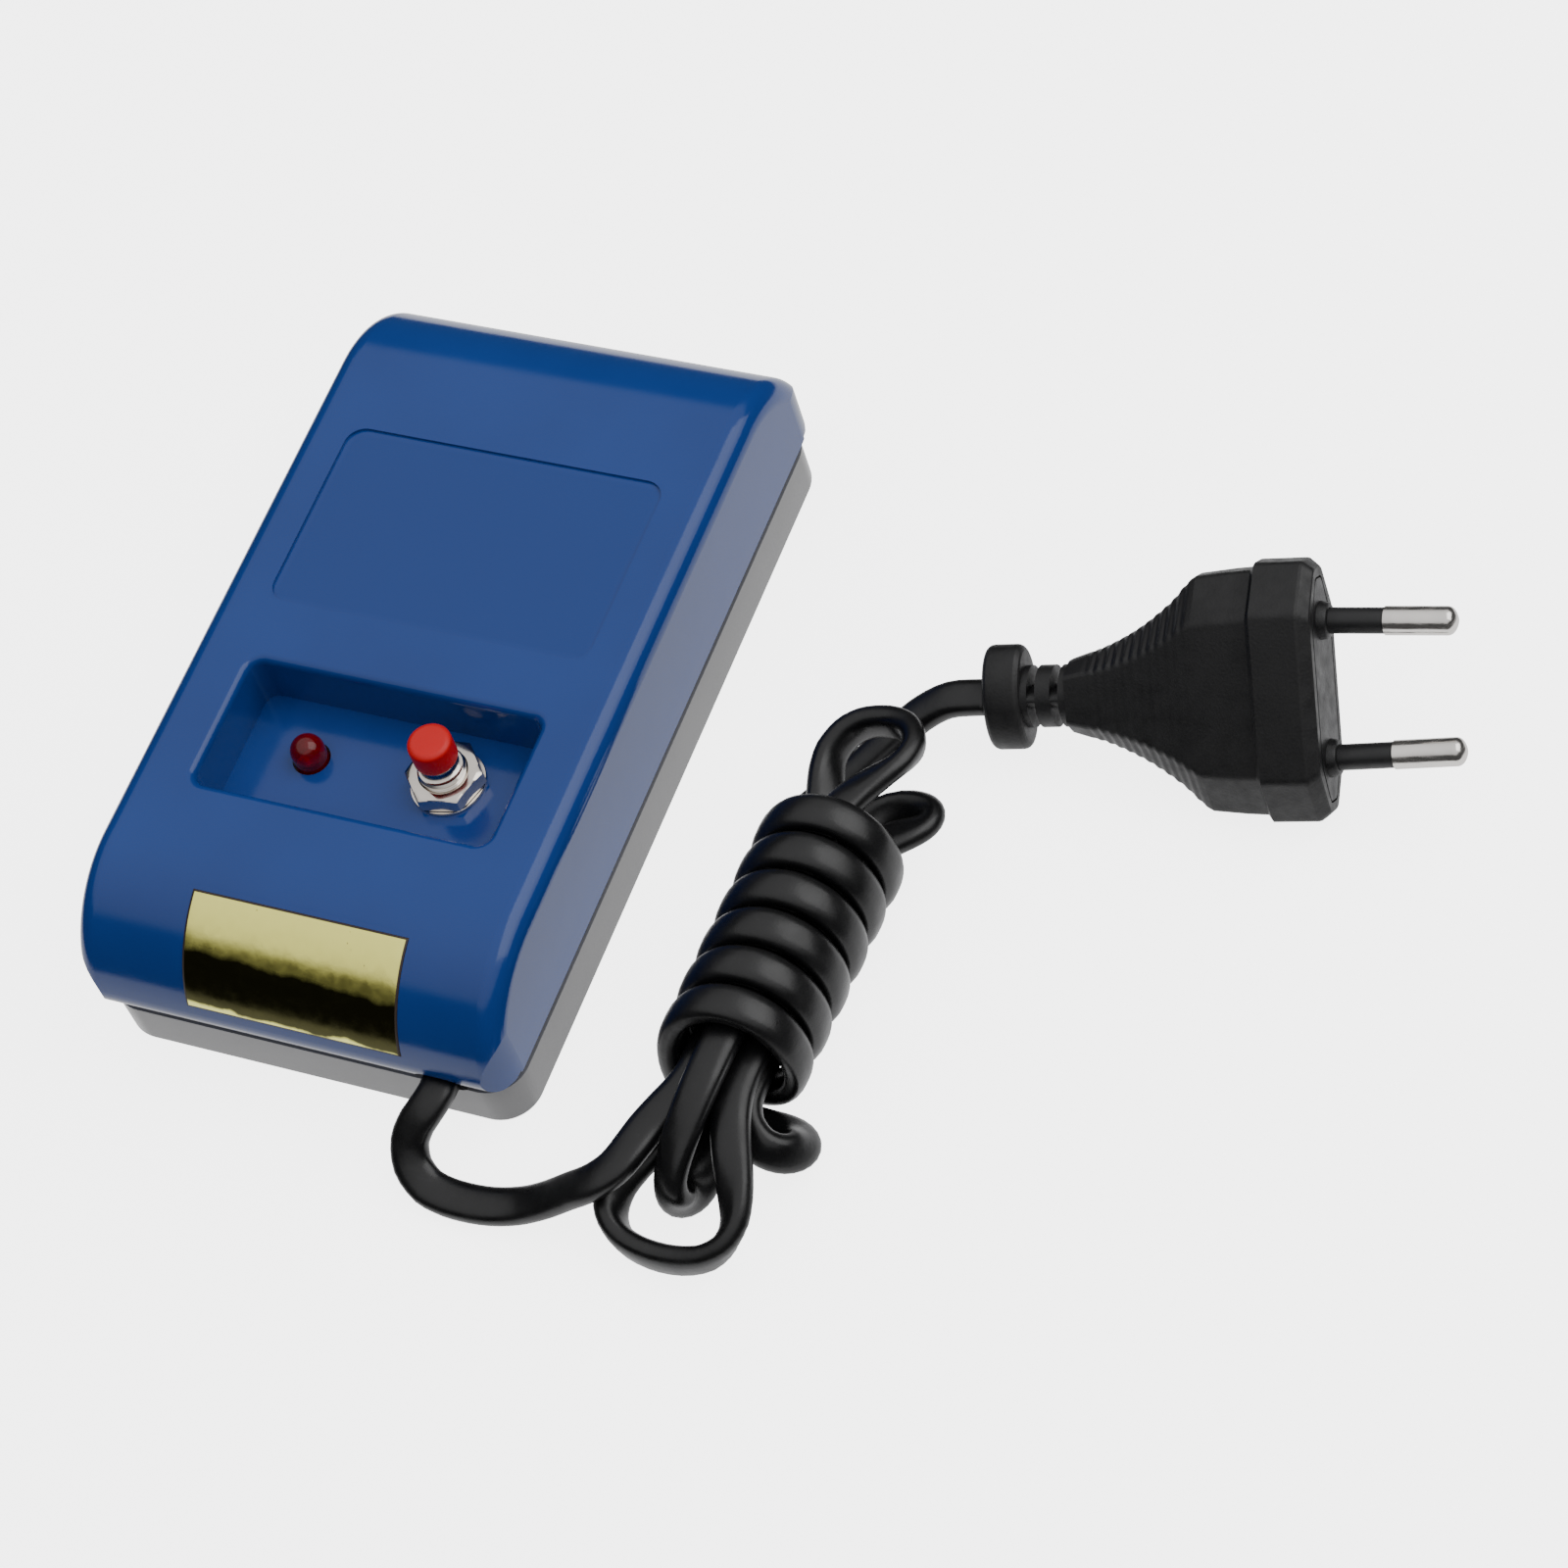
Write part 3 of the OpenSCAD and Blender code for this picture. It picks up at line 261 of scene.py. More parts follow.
def mesh_of(name, points, faces, sharp=None, closed=True):
    """A smooth-shaded mesh, with edges sharper than the angle kept sharp."""
    mesh = bpy.data.meshes.new(name)
    mesh.from_pydata([tuple(p) for p in points], [], faces)
    if closed:
        face_outwards(mesh)
    mesh.update()
    mesh.shade_smooth()
    if sharp is not None:
        mesh.set_sharp_from_angle(angle=sharp)
    return mesh


def ring_faces(rings, count, closed=False):
    """Quads between rings of equal count."""
    faces = []
    for i in range(rings if closed else rings - 1):
        a, b = i * count, (i + 1) % rings * count
        for j in range(count):
            k = (j + 1) % count
            faces.append((a + j, b + j, b + k, a + k))
    return faces


def loft(name, rings, sharp=None):
    """A closed body through rings of equal count, with a face at each end."""
    count = len(rings[0])
    faces = ring_faces(len(rings), count)
    faces.append(tuple(range(count)))
    faces.append(tuple(reversed(range((len(rings) - 1) * count, len(rings) * count))))
    return mesh_of(name, [p for ring in rings for p in ring], faces, sharp)


def ring_body(name, rings, sharp=None):
    """A closed body through rings of equal count, the last of which meets the first."""
    faces = ring_faces(len(rings), len(rings[0]), closed=True)
    return mesh_of(name, [p for ring in rings for p in ring], faces, sharp)


def tube(name, centres, ups, section):
    """The section swept along centres."""
    rings = []
    for centre, up, along in zip(centres, ups, tangents(centres)):
        side = up.cross(along)
        rings.append([centre + side * u + up * v for u, v in section])
    return loft(name, rings)


def round_corners(profile, radius, steps=4):
    """The profile's line with each inner corner rounded by about radius."""
    line = [profile[0]]
    for before, corner, after in zip(profile, profile[1:], profile[2:]):
        a, p, b = (Vector(v) for v in (before, corner, after))
        cut = min(radius, (a - p).length * 0.45, (b - p).length * 0.45)
        start, end = p + (a - p).normalized() * cut, p + (b - p).normalized() * cut
        for k in range(steps + 1):
            t = k / steps
            line.append(tuple(start * (1 - t) ** 2 + p * 2 * t * (1 - t) + end * t**2))
    line.append(profile[-1])
    return line


def circles(profile, at, count):
    """A level ring of points for each (radius, height) of the profile."""
    return [
        [
            (at[0] + radius * cos(tau * j / count), at[1] + radius * sin(tau * j / count), height)
            for j in range(count)
        ]
        for radius, height in profile
    ]


def turned(name, profile, at=(0, 0), count=64, sharp=radians(35)):
    """A turned body: the profile lists (radius, height) from the bottom to the top."""
    return loft(name, circles(profile, at, count), sharp)


def turned_ring(name, profile, at=(0, 0), count=64, sharp=radians(35)):
    """A turned body with a hole: the profile goes once round its section."""
    return ring_body(name, circles(profile, at, count), sharp)


def joined_mesh(name, meshes, sharp=radians(28)):
    """One mesh from several, with edges sharper than the angle kept sharp."""
    points, faces = [], []
    for mesh in meshes:
        start = len(points)
        points += [v.co.copy() for v in mesh.vertices]
        faces += [tuple(start + i for i in p.vertices) for p in mesh.polygons]
    joined = mesh_of(name, points, faces, sharp)
    for mesh in meshes:
        bpy.data.meshes.remove(mesh)
    return joined


def middle_of(node):
    """Middle of a CAD node across and along the case."""
    low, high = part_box(node)
    return ((low.x + high.x) / 2, (low.y + high.y) / 2)


def radius_of(node):
    """Half the width of a round CAD node."""
    low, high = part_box(node)
    return (high.x - low.x) / 2


def add_piece(mesh, body, slot, finish, *nodes, place=None):
    """Puts a mesh in the scene as a piece that rides on a body and stands for CAD nodes."""
    if place is not None:
        mesh.transform(place)
    piece = bpy.data.objects.new(mesh.name, mesh)
    mesh.materials.append(finish)
    bpy.context.collection.objects.link(piece)
    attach(piece, body)
    if nodes:
        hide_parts(*nodes)
    return piece


def finish_nodes(finish, *nodes):
    """Gives carried-over CAD nodes a finish."""
    for name in nodes:
        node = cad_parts[name]
        if not node.material_slots:
            node.data.materials.append(finish)
        for slot in node.material_slots:
            slot.material = finish


# Finishes


class Finish:
    """A procedural material whose textures read object coordinates."""

    def __init__(self, name, metallic=0.0, **constants):
        self.material = bpy.data.materials.new(name)
        self.material.use_nodes = True
        self.tree = self.material.node_tree
        self.shader = self.tree.nodes["Principled BSDF"]
        self.shader.inputs["Metallic"].default_value = metallic
        for key, value in constants.items():
            self.shader.inputs[key.replace("_", " ")].default_value = value
        self.place = self.node("TexCoord").outputs["Object"]

    def feed(self, socket, value):
        """Gives a socket a value, or another node's output."""
        if isinstance(value, bpy.types.NodeSocket):
            self.tree.links.new(value, socket)
        else:
            socket.default_value = value

    def node(self, kind, options=None, **inputs):
        """A new node; an input is a value or another node's output."""
        node = self.tree.nodes.new("ShaderNode" + kind)
        for key, value in (options or {}).items():
            setattr(node, key, value)
        for key, value in inputs.items():
            self.feed(node.inputs[key.replace("_", " ")], value)
        return node

    def axis(self, name):
        """The place along one axis, in metres."""
        return self.node("SeparateXYZ", Vector=self.place).outputs[name]

    def stretched(self, scale):
        """Object coordinates scaled along each axis."""
        return self.node("Mapping", Vector=self.place, Scale=scale).outputs["Vector"]

    def noise(self, scale, detail=2.0, place=None, roughness=0.5):
        """Noise from 0 to 1 with features of about 1 / scale metres."""
        return self.node(
            "TexNoise", Vector=place or self.place, Scale=scale, Detail=detail, Roughness=roughness
        ).outputs["Fac"]

    def math(self, operation, first, second=0.0):
        """The result of one sum, product or comparison."""
        node = self.node("Math", {"operation": operation})
        self.feed(node.inputs[0], first)
        self.feed(node.inputs[1], second)
        return node.outputs[0]

    def within(self, value, middle, half, fade):
        """1 where value is less than half away from the middle, and 0 beyond."""
        away = self.math("ABSOLUTE", self.math("SUBTRACT", value, middle))
        return self.between(away, 1, 0, half - fade, half)

    def between(self, value, low, high, start=0.3, end=0.7):
        """value from start to end becomes low to high."""
        node = self.node("MapRange", Value=value)
        for key, number in (("From Min", start), ("From Max", end), ("To Min", low), ("To Max", high)):
            node.inputs[key].default_value = number
        return node.outputs["Result"]

    def mix(self, value, first, second):
        """A colour from first to second as value goes from 0 to 1."""
        node = self.node("Mix", {"data_type": "RGBA"})
        factor, color_a, color_b = node.inputs[0], node.inputs[6], node.inputs[7]
        self.feed(factor, value)
        for socket, color in ((color_a, first), (color_b, second)):
            self.feed(socket, color if isinstance(color, bpy.types.NodeSocket) else (*color, 1))
        return node.outputs[2]

    def cloudy(self, noise, first, second):
        """Paints with soft clouds of two colours."""
        self.paint(self.mix(self.between(noise, 0, 1), first, second))

    def paint(self, color):
        """Sets the colour from a node's output."""
        self.tree.links.new(color, self.shader.inputs["Base Color"])

    def roughen(self, value):
        """Sets the roughness from a node's output."""
        self.tree.links.new(value, self.shader.inputs["Roughness"])

    def bump(self, height, distance, strength=1.0):
        """Adds relief of that depth in metres over any relief that is there."""
        node = self.node("Bump", Height=height, Distance=distance, Strength=strength)
        if self.shader.inputs["Normal"].is_linked:
            self.tree.links.new(self.shader.inputs["Normal"].links[0].from_socket, node.inputs["Normal"])
        self.tree.links.new(node.outputs["Normal"], self.shader.inputs["Normal"])


def shade(color, factor):
    """A colour made darker or lighter."""
    return tuple(min(1, c * factor) for c in color)


def moulded(name, color, roughness, grain=0.00001, spread=0.06, **constants):
    """Injection-moulded plastic: a little cloudy, with flow waves and a fine grain."""
    finish = Finish(name, **constants)
    finish.cloudy(finish.noise(45, detail=3), shade(color, 1 - spread), shade(color, 1 + spread))
    wear = finish.noise(260, detail=6, roughness=0.65)
    finish.roughen(finish.between(wear, roughness * 0.8, roughness * 1.3))
    finish.bump(finish.noise(160, detail=1), grain * 3)
    finish.bump(finish.noise(2600, detail=3), grain)
    return finish.material


def machined(name, color, roughness, pitch=0.0, **constants):
    """Plated or bare metal with fine turning or drawing marks, or with rows of wire of that pitch."""
    finish = Finish(name, metallic=1.0, **constants)
    finish.cloudy(finish.noise(180, detail=4), shade(color, 0.9), shade(color, 1.06))
    marks = finish.noise(900, detail=5, place=finish.stretched((0.3, 0.3, 4)))
    finish.roughen(finish.between(marks, roughness * 0.6, roughness * 1.5))
    finish.bump(marks, 0.000006)
    if pitch:
        # A wave texture of scale 1 repeats about every 0.314 units
        wave = finish.node("TexWave", {"bands_direction": "Z"}, Vector=finish.place, Scale=0.314 / pitch)
        finish.bump(wave.outputs["Fac"], pitch * 0.2)
    return finish.material


def banded(name, color, bands, roughness, width):
    """A small part with painted bands across it: each band is (place along x, colour)."""
    finish = Finish(name, IOR=1.5)
    along = finish.axis("X")
    grain = finish.noise(1800, detail=3)
    paint = finish.mix(finish.between(grain, 0, 1), shade(color, 0.9), shade(color, 1.08))
    for place, tint in bands:
        paint = finish.mix(finish.within(along, place, width / 2, width * 0.05), paint, tint)
    finish.paint(paint)
    finish.roughen(finish.between(grain, roughness * 0.8, roughness * 1.2))
    return finish.material


def cover_blue(case):
    """Glossy blue moulding of the cover, darker and polished deeper in the watch rest."""
    finish = Finish("cover_blue", IOR=1.45)
    cloud = finish.between(finish.noise(40, detail=3), 0, 1)
    paint = finish.mix(cloud, case.cover_dark, case.cover_light)
    edge, strength, polish = 0.0012, 0.8, 0.05
    sides = [
        finish.within(finish.axis(axis), middle, half, edge)
        for axis, middle, half in zip("XY", case.rest_middle, case.rest_half)
    ]
    rest = finish.math("MULTIPLY", finish.math("MULTIPLY", *sides), strength)
    finish.paint(finish.mix(rest, paint, case.rest_color))
    haze = finish.between(finish.noise(260, detail=6, roughness=0.65), 0.1, 0.17)
    finish.roughen(finish.math("SUBTRACT", haze, finish.math("MULTIPLY", rest, polish)))
    finish.bump(finish.noise(120, detail=1), 0.00003)
    finish.bump(finish.noise(2600, detail=3), 0.000006)
    return finish.material


def base_grey(case):
    """Glossy grey moulding of the base."""
    return moulded("base_grey", case.base_color, 0.2, IOR=1.5)


def cord_black(cord):
    """Soft black PVC of the cord: satin, with faint draw lines and dust."""
    finish = Finish("cord_black", IOR=1.5)
    dust = finish.between(finish.noise(700, detail=6, roughness=0.7), 0, 1, 0.55, 0.8)
    finish.paint(finish.mix(dust, cord.color, cord.dust_color))
    finish.roughen(finish.between(finish.noise(240, detail=4), 0.26, 0.4))
    finish.bump(finish.noise(420, detail=3), 0.00004)
    finish.bump(finish.noise(3200, detail=2), 0.00001)
    return finish.material


def plug_black(plug):
    """Moulded black PVC of the plug, with a fine spark grain."""
    finish = Finish("plug_black", IOR=1.5)
    finish.cloudy(finish.noise(160, detail=4), plug.dark, plug.light)
    finish.roughen(finish.between(finish.noise(500, detail=5), 0.38, 0.55))
    finish.bump(finish.noise(2400, detail=4, roughness=0.7), 0.00005)
    return finish.material


def gold_foil(foil):
    """Mirror gold foil with a painted dark olive reflection band across its lower part, a painted bright
    reflection strip under it, ripples and pinholes.
    """
    finish = Finish("gold_foil", metallic=1.0)
    wave, tilt = 0.0011, 0.02
    ripple = finish.noise(230, detail=4, place=finish.stretched((1, 1, 0.6)))
    level = finish.math("ADD", finish.axis("Z"), finish.between(ripple, -wave, wave, 0, 1))
    height = finish.math("ADD", level, finish.math("MULTIPLY", finish.axis("X"), tilt))
    # Painted reflection: a dark olive band between these heights and a bright strip below it stand in for
    # what the mirror foil reflects
    above = finish.between(height, 0, 1, *foil.dark_reflection_top)
    below = finish.between(height, 1, 0, *foil.dark_reflection_foot)
    lower = finish.mix(below, foil.painted_dark_reflection, foil.strip)
    pinhole = finish.between(finish.noise(1500, detail=2), 0, 1, 0.76, 0.8)
    finish.paint(finish.mix(above, lower, finish.mix(pinhole, foil.gold, foil.pinhole)))
    finish.roughen(finish.between(finish.noise(600, detail=5), 0.12, 0.25))
    finish.bump(ripple, 0.00005)
    return finish.material


def foil_edge(foil):
    """Dark colour of the foil's rim, along its cut edge."""
    return moulded("foil_edge", foil.edge, 0.5)


def lamp_red(lamp):
    """Clear dark red epoxy of the lamp."""
    finish = Finish("lamp_red", IOR=1.45, Transmission_Weight=0.55)
    finish.cloudy(finish.noise(300, detail=3), lamp.dark, lamp.light)
    finish.roughen(finish.between(finish.noise(900, detail=3), 0.03, 0.08))
    finish.bump(finish.noise(500, detail=1), 0.000008)
    return finish.material


def cap_red(button):
    """Red moulded cap with a matt top."""
    return moulded("cap_red", button.cap_color, 0.4, grain=0.00002, IOR=1.42)


def nickel(button):
    """Bright nickel plate of the push button."""
    return machined("nickel", button.metal_color, 0.16)


def pin_metal(plug):
    """Nickel-plated pins, drawn along their length."""
    return machined("pin_nickel", plug.pin_color, 0.2)


def wire_finish(name, color):
    """Smooth coloured insulation of one inner wire."""
    return moulded("wire_" + name, color, 0.35)


# Cord


class CordSettings(bpy.types.PropertyGroup):
    """Sizes and colours of the mains cord."""

    width: FloatProperty(name="Width", description="Width of the flat cord", default=0.0055, unit="LENGTH")
    thickness: FloatProperty(
        name="Thickness", description="Thickness of the flat cord", default=0.0034, unit="LENGTH"
    )
    fullness: FloatProperty(
        name="Fullness", description="How flat the cord's sides are: 2 is an ellipse", default=2.6
    )
    tight: FloatProperty(
        name="Tight bend", description="Bends tighter than this are eased", default=0.006, unit="LENGTH"
    )
    wraps: IntProperty(name="Wraps", description="Turns round the middle of the hank", default=6, min=1)
    wrap_gap: FloatProperty(
        name="Wrap gap", description="Gap between two wraps", default=0.00074, unit="LENGTH"
    )
    step: FloatProperty(
        name="Step", description="Distance between two rings of the mesh", default=0.0012, unit="LENGTH"
    )
    sides: IntProperty(name="Sides", description="Points round the cord", default=20, min=1)
    color: FloatVectorProperty(
        name="Color", description="Black PVC",
        default=(0.005, 0.005, 0.0055), size=3, min=0, max=1, subtype="COLOR",
    )
    dust_color: FloatVectorProperty(
        name="Dust", description="Black PVC where dust lies on it",
        default=(0.011, 0.011, 0.012), size=3, min=0, max=1, subtype="COLOR",
    )


def hank_spacing(cord):
    """Half the distance between two passes side by side, and the height of one layer of passes."""
    return (cord.width + PASS_GAP) / 2, cord.thickness + LAYER_GAP


def wrap_size(cord):
    """Half the width and half the height of a wrap's centre line, round four layers of passes."""
    across, layer = hank_spacing(cord)
    wide = across + cord.width / 2 + cord.thickness / 2 + WRAP_SIDE_GAP
    return wide, 1.5 * layer + cord.thickness + WRAP_TOP_GAP


def hank_matrix(cord):
    """Frame of the hank: y along its passes, z up, in the middle of its section."""
    _, high = wrap_size(cord)
    place = EXIT + HANK_MIDDLE + UP * (cord.thickness / 2 + high + HANK_LIFT)
    return Matrix.Translation(place) @ Matrix.Rotation(HANK_TURN, 4, "Z")


def run(slot, side):
    """One pass of the hank, towards its far end if side is 1 and back if it is -1."""
    x, z = slot
    return [(Vector((x, side * PASS_END * (i / 3 - 1), z)), 0) for i in range(7)]


def loop(first, second, side, shape):
    """A loop between two passes; side is 1 at the far end and -1 at the near end."""
    reach, swell, lean, dip, begin, end = shape
    turn = 1 if second[0] >= first[0] else -1
    keys = []
    for i in range(1, LOOP_POINTS):
        angle = pi * i / LOOP_POINTS
        share, rise = (1 - cos(angle)) / 2, sin(angle) ** 2
        x = first[0] + (second[0] - first[0]) * share
        x += (lean - turn * swell * SWELL_PEAK * cos(angle)) * rise
        z = first[1] + (second[1] - first[1]) * share + dip * rise
        roll = 90 * smooth((rise - begin) / (end - begin))
        keys.append((Vector((x, side * (PASS_END + reach * sin(angle)), z)), roll))
    return keys


def pass_keys(cord):
    """The six passes and the loops between them, in the hank's frame, each point with its roll."""
    across, layer = hank_spacing(cord)
    low, top = (0, -1.5 * layer), (0, 1.5 * layer)
    left, right = (-across, -layer / 2), (across, -layer / 2)
    upper_left, upper_right = (-across, layer / 2), (across, layer / 2)
    keys = run(upper_left, 1) + loop(upper_left, upper_right, 1, TURN_LOOP)
    keys += run(upper_right, -1) + loop(upper_right, left, -1, BIG_LOOP)
    keys += run(left, 1) + loop(left, top, 1, TOP_LOOP)
    keys += run(top, -1) + loop(top, low, -1, INNER_LOOP)
    keys += run(low, 1) + loop(low, right, 1, SIDE_LOOP)
    return keys + run(right, -1)


def wrap_keys(cord):
    """The wraps round the passes, in the hank's frame, each point with its roll or its normal."""
    wide, high = wrap_size(cord)
    pitch = cord.width + cord.wrap_gap
    keys = [(Vector((x, y, -high)), 0) for x, y in BEFORE_WRAPS]
    for i in range(LOOP_POINTS * cord.wraps + 1):
        angle = -pi / 2 - tau * i / LOOP_POINTS
        x, z = wide * cos(angle), high * sin(angle)
        y = WRAP_START + pitch * i / LOOP_POINTS + WRAP_SHEAR * (z + high)
        inwards = Vector((-cos(angle) / wide, 0, -sin(angle) / high)).normalized()
        keys.append((Vector((x, y, z)), inwards))
    last = Vector((0, WRAP_START + pitch * cord.wraps, -high))
    return keys + [(last + AFTER_WRAPS * i, 0) for i in (1, 2)]


def hank_line(cord):
    """The whole hank in the row frame, each point with its roll in degrees or its normal."""
    place = hank_matrix(cord)
    turn = place.to_3x3()
    keys = pass_keys(cord) + [(Vector(point), roll) for point, roll in UNDER] + wrap_keys(cord)
    return [(place @ point, turn @ roll if isinstance(roll, Vector) else roll) for point, roll in keys]


def flat_normals(line):
    """Normals of the cord's flat side: the one given, or up, rolled over by the degrees given."""
    ups = []
    for (_, roll), along in zip(line, tangents([point for point, _ in line])):
        if not isinstance(roll, Vector):
            side = along.cross(UP).normalized()
            roll = UP * cos(radians(roll)) + side * sin(radians(roll))
        up = square_to(roll, along)
        ups.append(-up if ups and up.dot(ups[-1]) < 0 else up)
    return ups


def cord_line(cord, plug):
    """Centre points and flat-side normals of the whole cord, from the exit to the plug."""
    hank = hank_line(cord)
    first, second, before, last = (hank[i][0] for i in (0, 1, -2, -1))
    into, out = (second - first).normalized() * STRAIGHT, (last - before).normalized() * STRAIGHT
    rear = plug_matrix()
    axis = (rear.to_3x3() @ Vector((1, 0, 0))) * STRAIGHT
    plug_end = rear @ Vector((-plug.length, 0, 0))
    line = [(EXIT + Vector(point), 0) for point in LEAD]
    line += [(first - into * i, 0) for i in (2, 1)]
    line += hank
    line += [(last + out * i, 0) for i in (1, 2)]
    line += [(EXIT + Vector(point), 0) for point in TAIL]
    line += [(plug_end - axis * i, 0) for i in (2, 1, 0)]
    centres, ups = follow([point for point, _ in line], flat_normals(line), cord.step)
    centres = eased(centres, cord.tight, EASE_ROUNDS)
    return centres, untwisted(centres, ups, EASE_ROUNDS)


def cord_section(cord):
    """The cord's flat section with full sides."""
    return oval(cord.width, cord.thickness, cord.sides, cord.fullness)


class DEMAGNETIZER_OT_cord(bpy.types.Operator):
    """Sweep the flat mains cord through its hank"""

    bl_idname = "demagnetizer.cord"
    bl_label = "Mains cord"

    def execute(self, context):
        cord = context.scene.demagnetizer_cord
        centres, ups = cord_line(cord, context.scene.demagnetizer_plug)
        mesh = tube("mains_cord", centres, ups, cord_section(cord))
        piece = add_piece(
            mesh, "case", "cord_black", cord_black(cord), "cord_lead", "cord_hank", "cord_tail"
        )
        return {"FINISHED"}


# Plug


class PlugSettings(bpy.types.PropertyGroup):
    """Sizes and colours of the flat two-pin plug."""

    length: FloatProperty(name="Length", description="Body with its collar", default=0.0486, unit="LENGTH")
    width: FloatProperty(name="Width", description="Width at the front", default=0.036, unit="LENGTH")
    thickness: FloatProperty(
        name="Thickness", description="Thickness at the front", default=0.0137, unit="LENGTH"
    )
    block: FloatProperty(
        name="Block", description="Length of the wider block at the front", default=0.0082, unit="LENGTH"
    )
    bevel: FloatProperty(
        name="Bevel", description="Bevel round the front face", default=0.0014, unit="LENGTH"
    )
    corner: FloatProperty(
        name="Corner", description="Rounding of the body's long edges", default=0.0007, unit="LENGTH"
    )
    rib_depth: FloatProperty(
        name="Rib depth", description="Depth of the grip ribs", default=0.00028, unit="LENGTH"
    )
    rib_pitch: FloatProperty(
        name="Rib pitch", description="Distance between the grip ribs", default=0.00135, unit="LENGTH"
    )
    rib_rings: IntProperty(
        name="Rib rings", description="Sections in each part of the taper", default=22, min=1
    )
    neck: FloatVectorProperty(
        name="Neck", description="Width and thickness of the neck",
        default=(0.0088, 0.0076), size=2, unit="LENGTH",
    )
    slot: FloatProperty(
        name="Slot", description="Length of each slot in the neck", default=0.0012, unit="LENGTH"
    )
    slot_width: FloatProperty(
        name="Slot core", description="Width of the neck between a pair of slots",
        default=0.0032, unit="LENGTH",
    )
    collar: FloatProperty(
        name="Collar", description="Length of the oval collar", default=0.0057, unit="LENGTH"
    )
    collar_size: FloatVectorProperty(
        name="Collar size", description="Width and thickness of the collar",
        default=(0.0149, 0.009), size=2, unit="LENGTH",
    )
    pin_width: FloatProperty(
        name="Pin diameter", description="Diameter of the metal pins", default=0.004, unit="LENGTH"
    )
    pin_length: FloatProperty(
        name="Pin length", description="Pins beyond the front face", default=0.019, unit="LENGTH"
    )
    pin_gap: FloatProperty(
        name="Pin distance", description="Distance between the pins' roots", default=0.019, unit="LENGTH"
    )
    sleeve_length: FloatProperty(
        name="Sleeve length", description="Black sleeve on each pin's root", default=0.009, unit="LENGTH"
    )
    dark: FloatVectorProperty(
        name="Dark", description="Black PVC in its darker clouds",
        default=(0.004, 0.004, 0.0045), size=3, min=0, max=1, subtype="COLOR",
    )
    light: FloatVectorProperty(
        name="Light", description="Black PVC in its lighter clouds",
        default=(0.0075, 0.0075, 0.008), size=3, min=0, max=1, subtype="COLOR",
    )
    pin_color: FloatVectorProperty(
        name="Pins", description="Metal of the pins",
        default=(0.82, 0.79, 0.75), size=3, min=0, max=1, subtype="COLOR",
    )
    sleeve_color: FloatVectorProperty(
        name="Sleeves", description="Plastic of the sleeves",
        default=(0.012, 0.012, 0.013), size=3, min=0, max=1, subtype="COLOR",
    )


def plug_matrix():
    """Frame of the plug: x along its axis to the pins, y across both pins, z through its thickness."""
    flat = Matrix.Rotation(PLUG_YAW, 4, "Z") @ Matrix.Rotation(-PLUG_PITCH, 4, "Y")
    return Matrix.Translation(PLUG_AT) @ flat @ Matrix.Rotation(PLUG_ROLL, 4, "X")


def plug_section(x, half_width, half_thickness, corner, nip=0.0):
    """Eight-sided section of the plug with rounded corners, x behind its face, its ridges nipped in."""
    flat, edge = half_width * FLAT_SHARE - nip, half_thickness * EDGE_SHARE
    w, t = half_width - nip * 0.7, half_thickness
    corners = [(w, -edge), (w, edge), (flat, t), (-flat, t)]
    corners += [(-y, -z) for y, z in corners]
    line = round_corners([corners[-1]] + corners + [corners[0]], corner)[1:-1]
    return [Vector((-x, y, z)) for y, z in line]


def waist(plug):
    """Where the taper meets the front block: x, half width and half thickness."""
    return 0.0118, plug.width / 2 * 0.937, plug.thickness / 2 - 0.0006


def taper_rings(plug):
    """Sections of the bell-shaped taper from the neck to the waist, with its grip ribs."""
    w = plug.width / 2
    bell = [Vector(place) for place in (
        (0.0362, w * 0.283, 0.0043), (0.0308, w * 0.383, 0.0046), (0.0254, w * 0.533, 0.0051),
        (0.021, w * 0.706, 0.0056), (0.0165, w * 0.917, 0.006), waist(plug),
    )]
    ribs_rear, rear_fade, ribs_front, front_fade = 0.0345, 0.003, 0.0165, 0.002
    gaps, heading = slopes(bell)
    rings = []
    for i in range(len(gaps) - 1):
        for k in range(plug.rib_rings):
            x, half_width, half_thickness = between(
                bell[i], bell[i + 1], heading[i] * gaps[i], heading[i + 1] * gaps[i], k / plug.rib_rings
            )
            fade = smooth((ribs_rear - x) / rear_fade) * smooth((x - ribs_front) / front_fade)
            nip = plug.rib_depth * fade * (0.5 - 0.5 * cos(tau * x / plug.rib_pitch))
            rings.append(plug_section(x, half_width, half_thickness, plug.corner, nip))
    return rings


def block_rings(plug):
    """Sections of the front block: its rear step, its bevel, and a fine groove in its face."""
    w, t, step = plug.width / 2, plug.thickness / 2, plug.block
    cut = plug.bevel * 0.8
    rim, depth = cut + 0.0013, 0.0003

    def section(x, half_width, half_thickness):
        """A section with the plug's own corners."""
        return plug_section(x, half_width, half_thickness, plug.corner)

    def inset(x, by):
        """A section whose sides lie in from the block's."""
        return section(x, w - by, t - by)

    rear = [
        section(*waist(plug)),
        section(step + 0.0008, w * 0.945, t - 0.00045),
        section(step + 0.0006, w * 0.947, t - 0.0004),
        section(step + 0.0002, w - 0.0003, t - 0.0001),
    ]
    bevel = [inset(step, 0), inset(plug.bevel + 0.0004, 0), inset(plug.bevel, 0.0001)]
    bevel += [inset(plug.bevel * 0.1, cut), inset(0, cut + 0.0002)]
    groove = [inset(0, rim), inset(depth, rim + 0.00004)]
    groove += [inset(depth, rim + 0.00026), inset(0, rim + 0.0003)]
    return rear + bevel + groove


def oval_ring(x, width, thickness, count=48):
    """Oval section, x behind the plug's face."""
    return [Vector((-x, y, z)) for y, z in oval(width, thickness, count)]


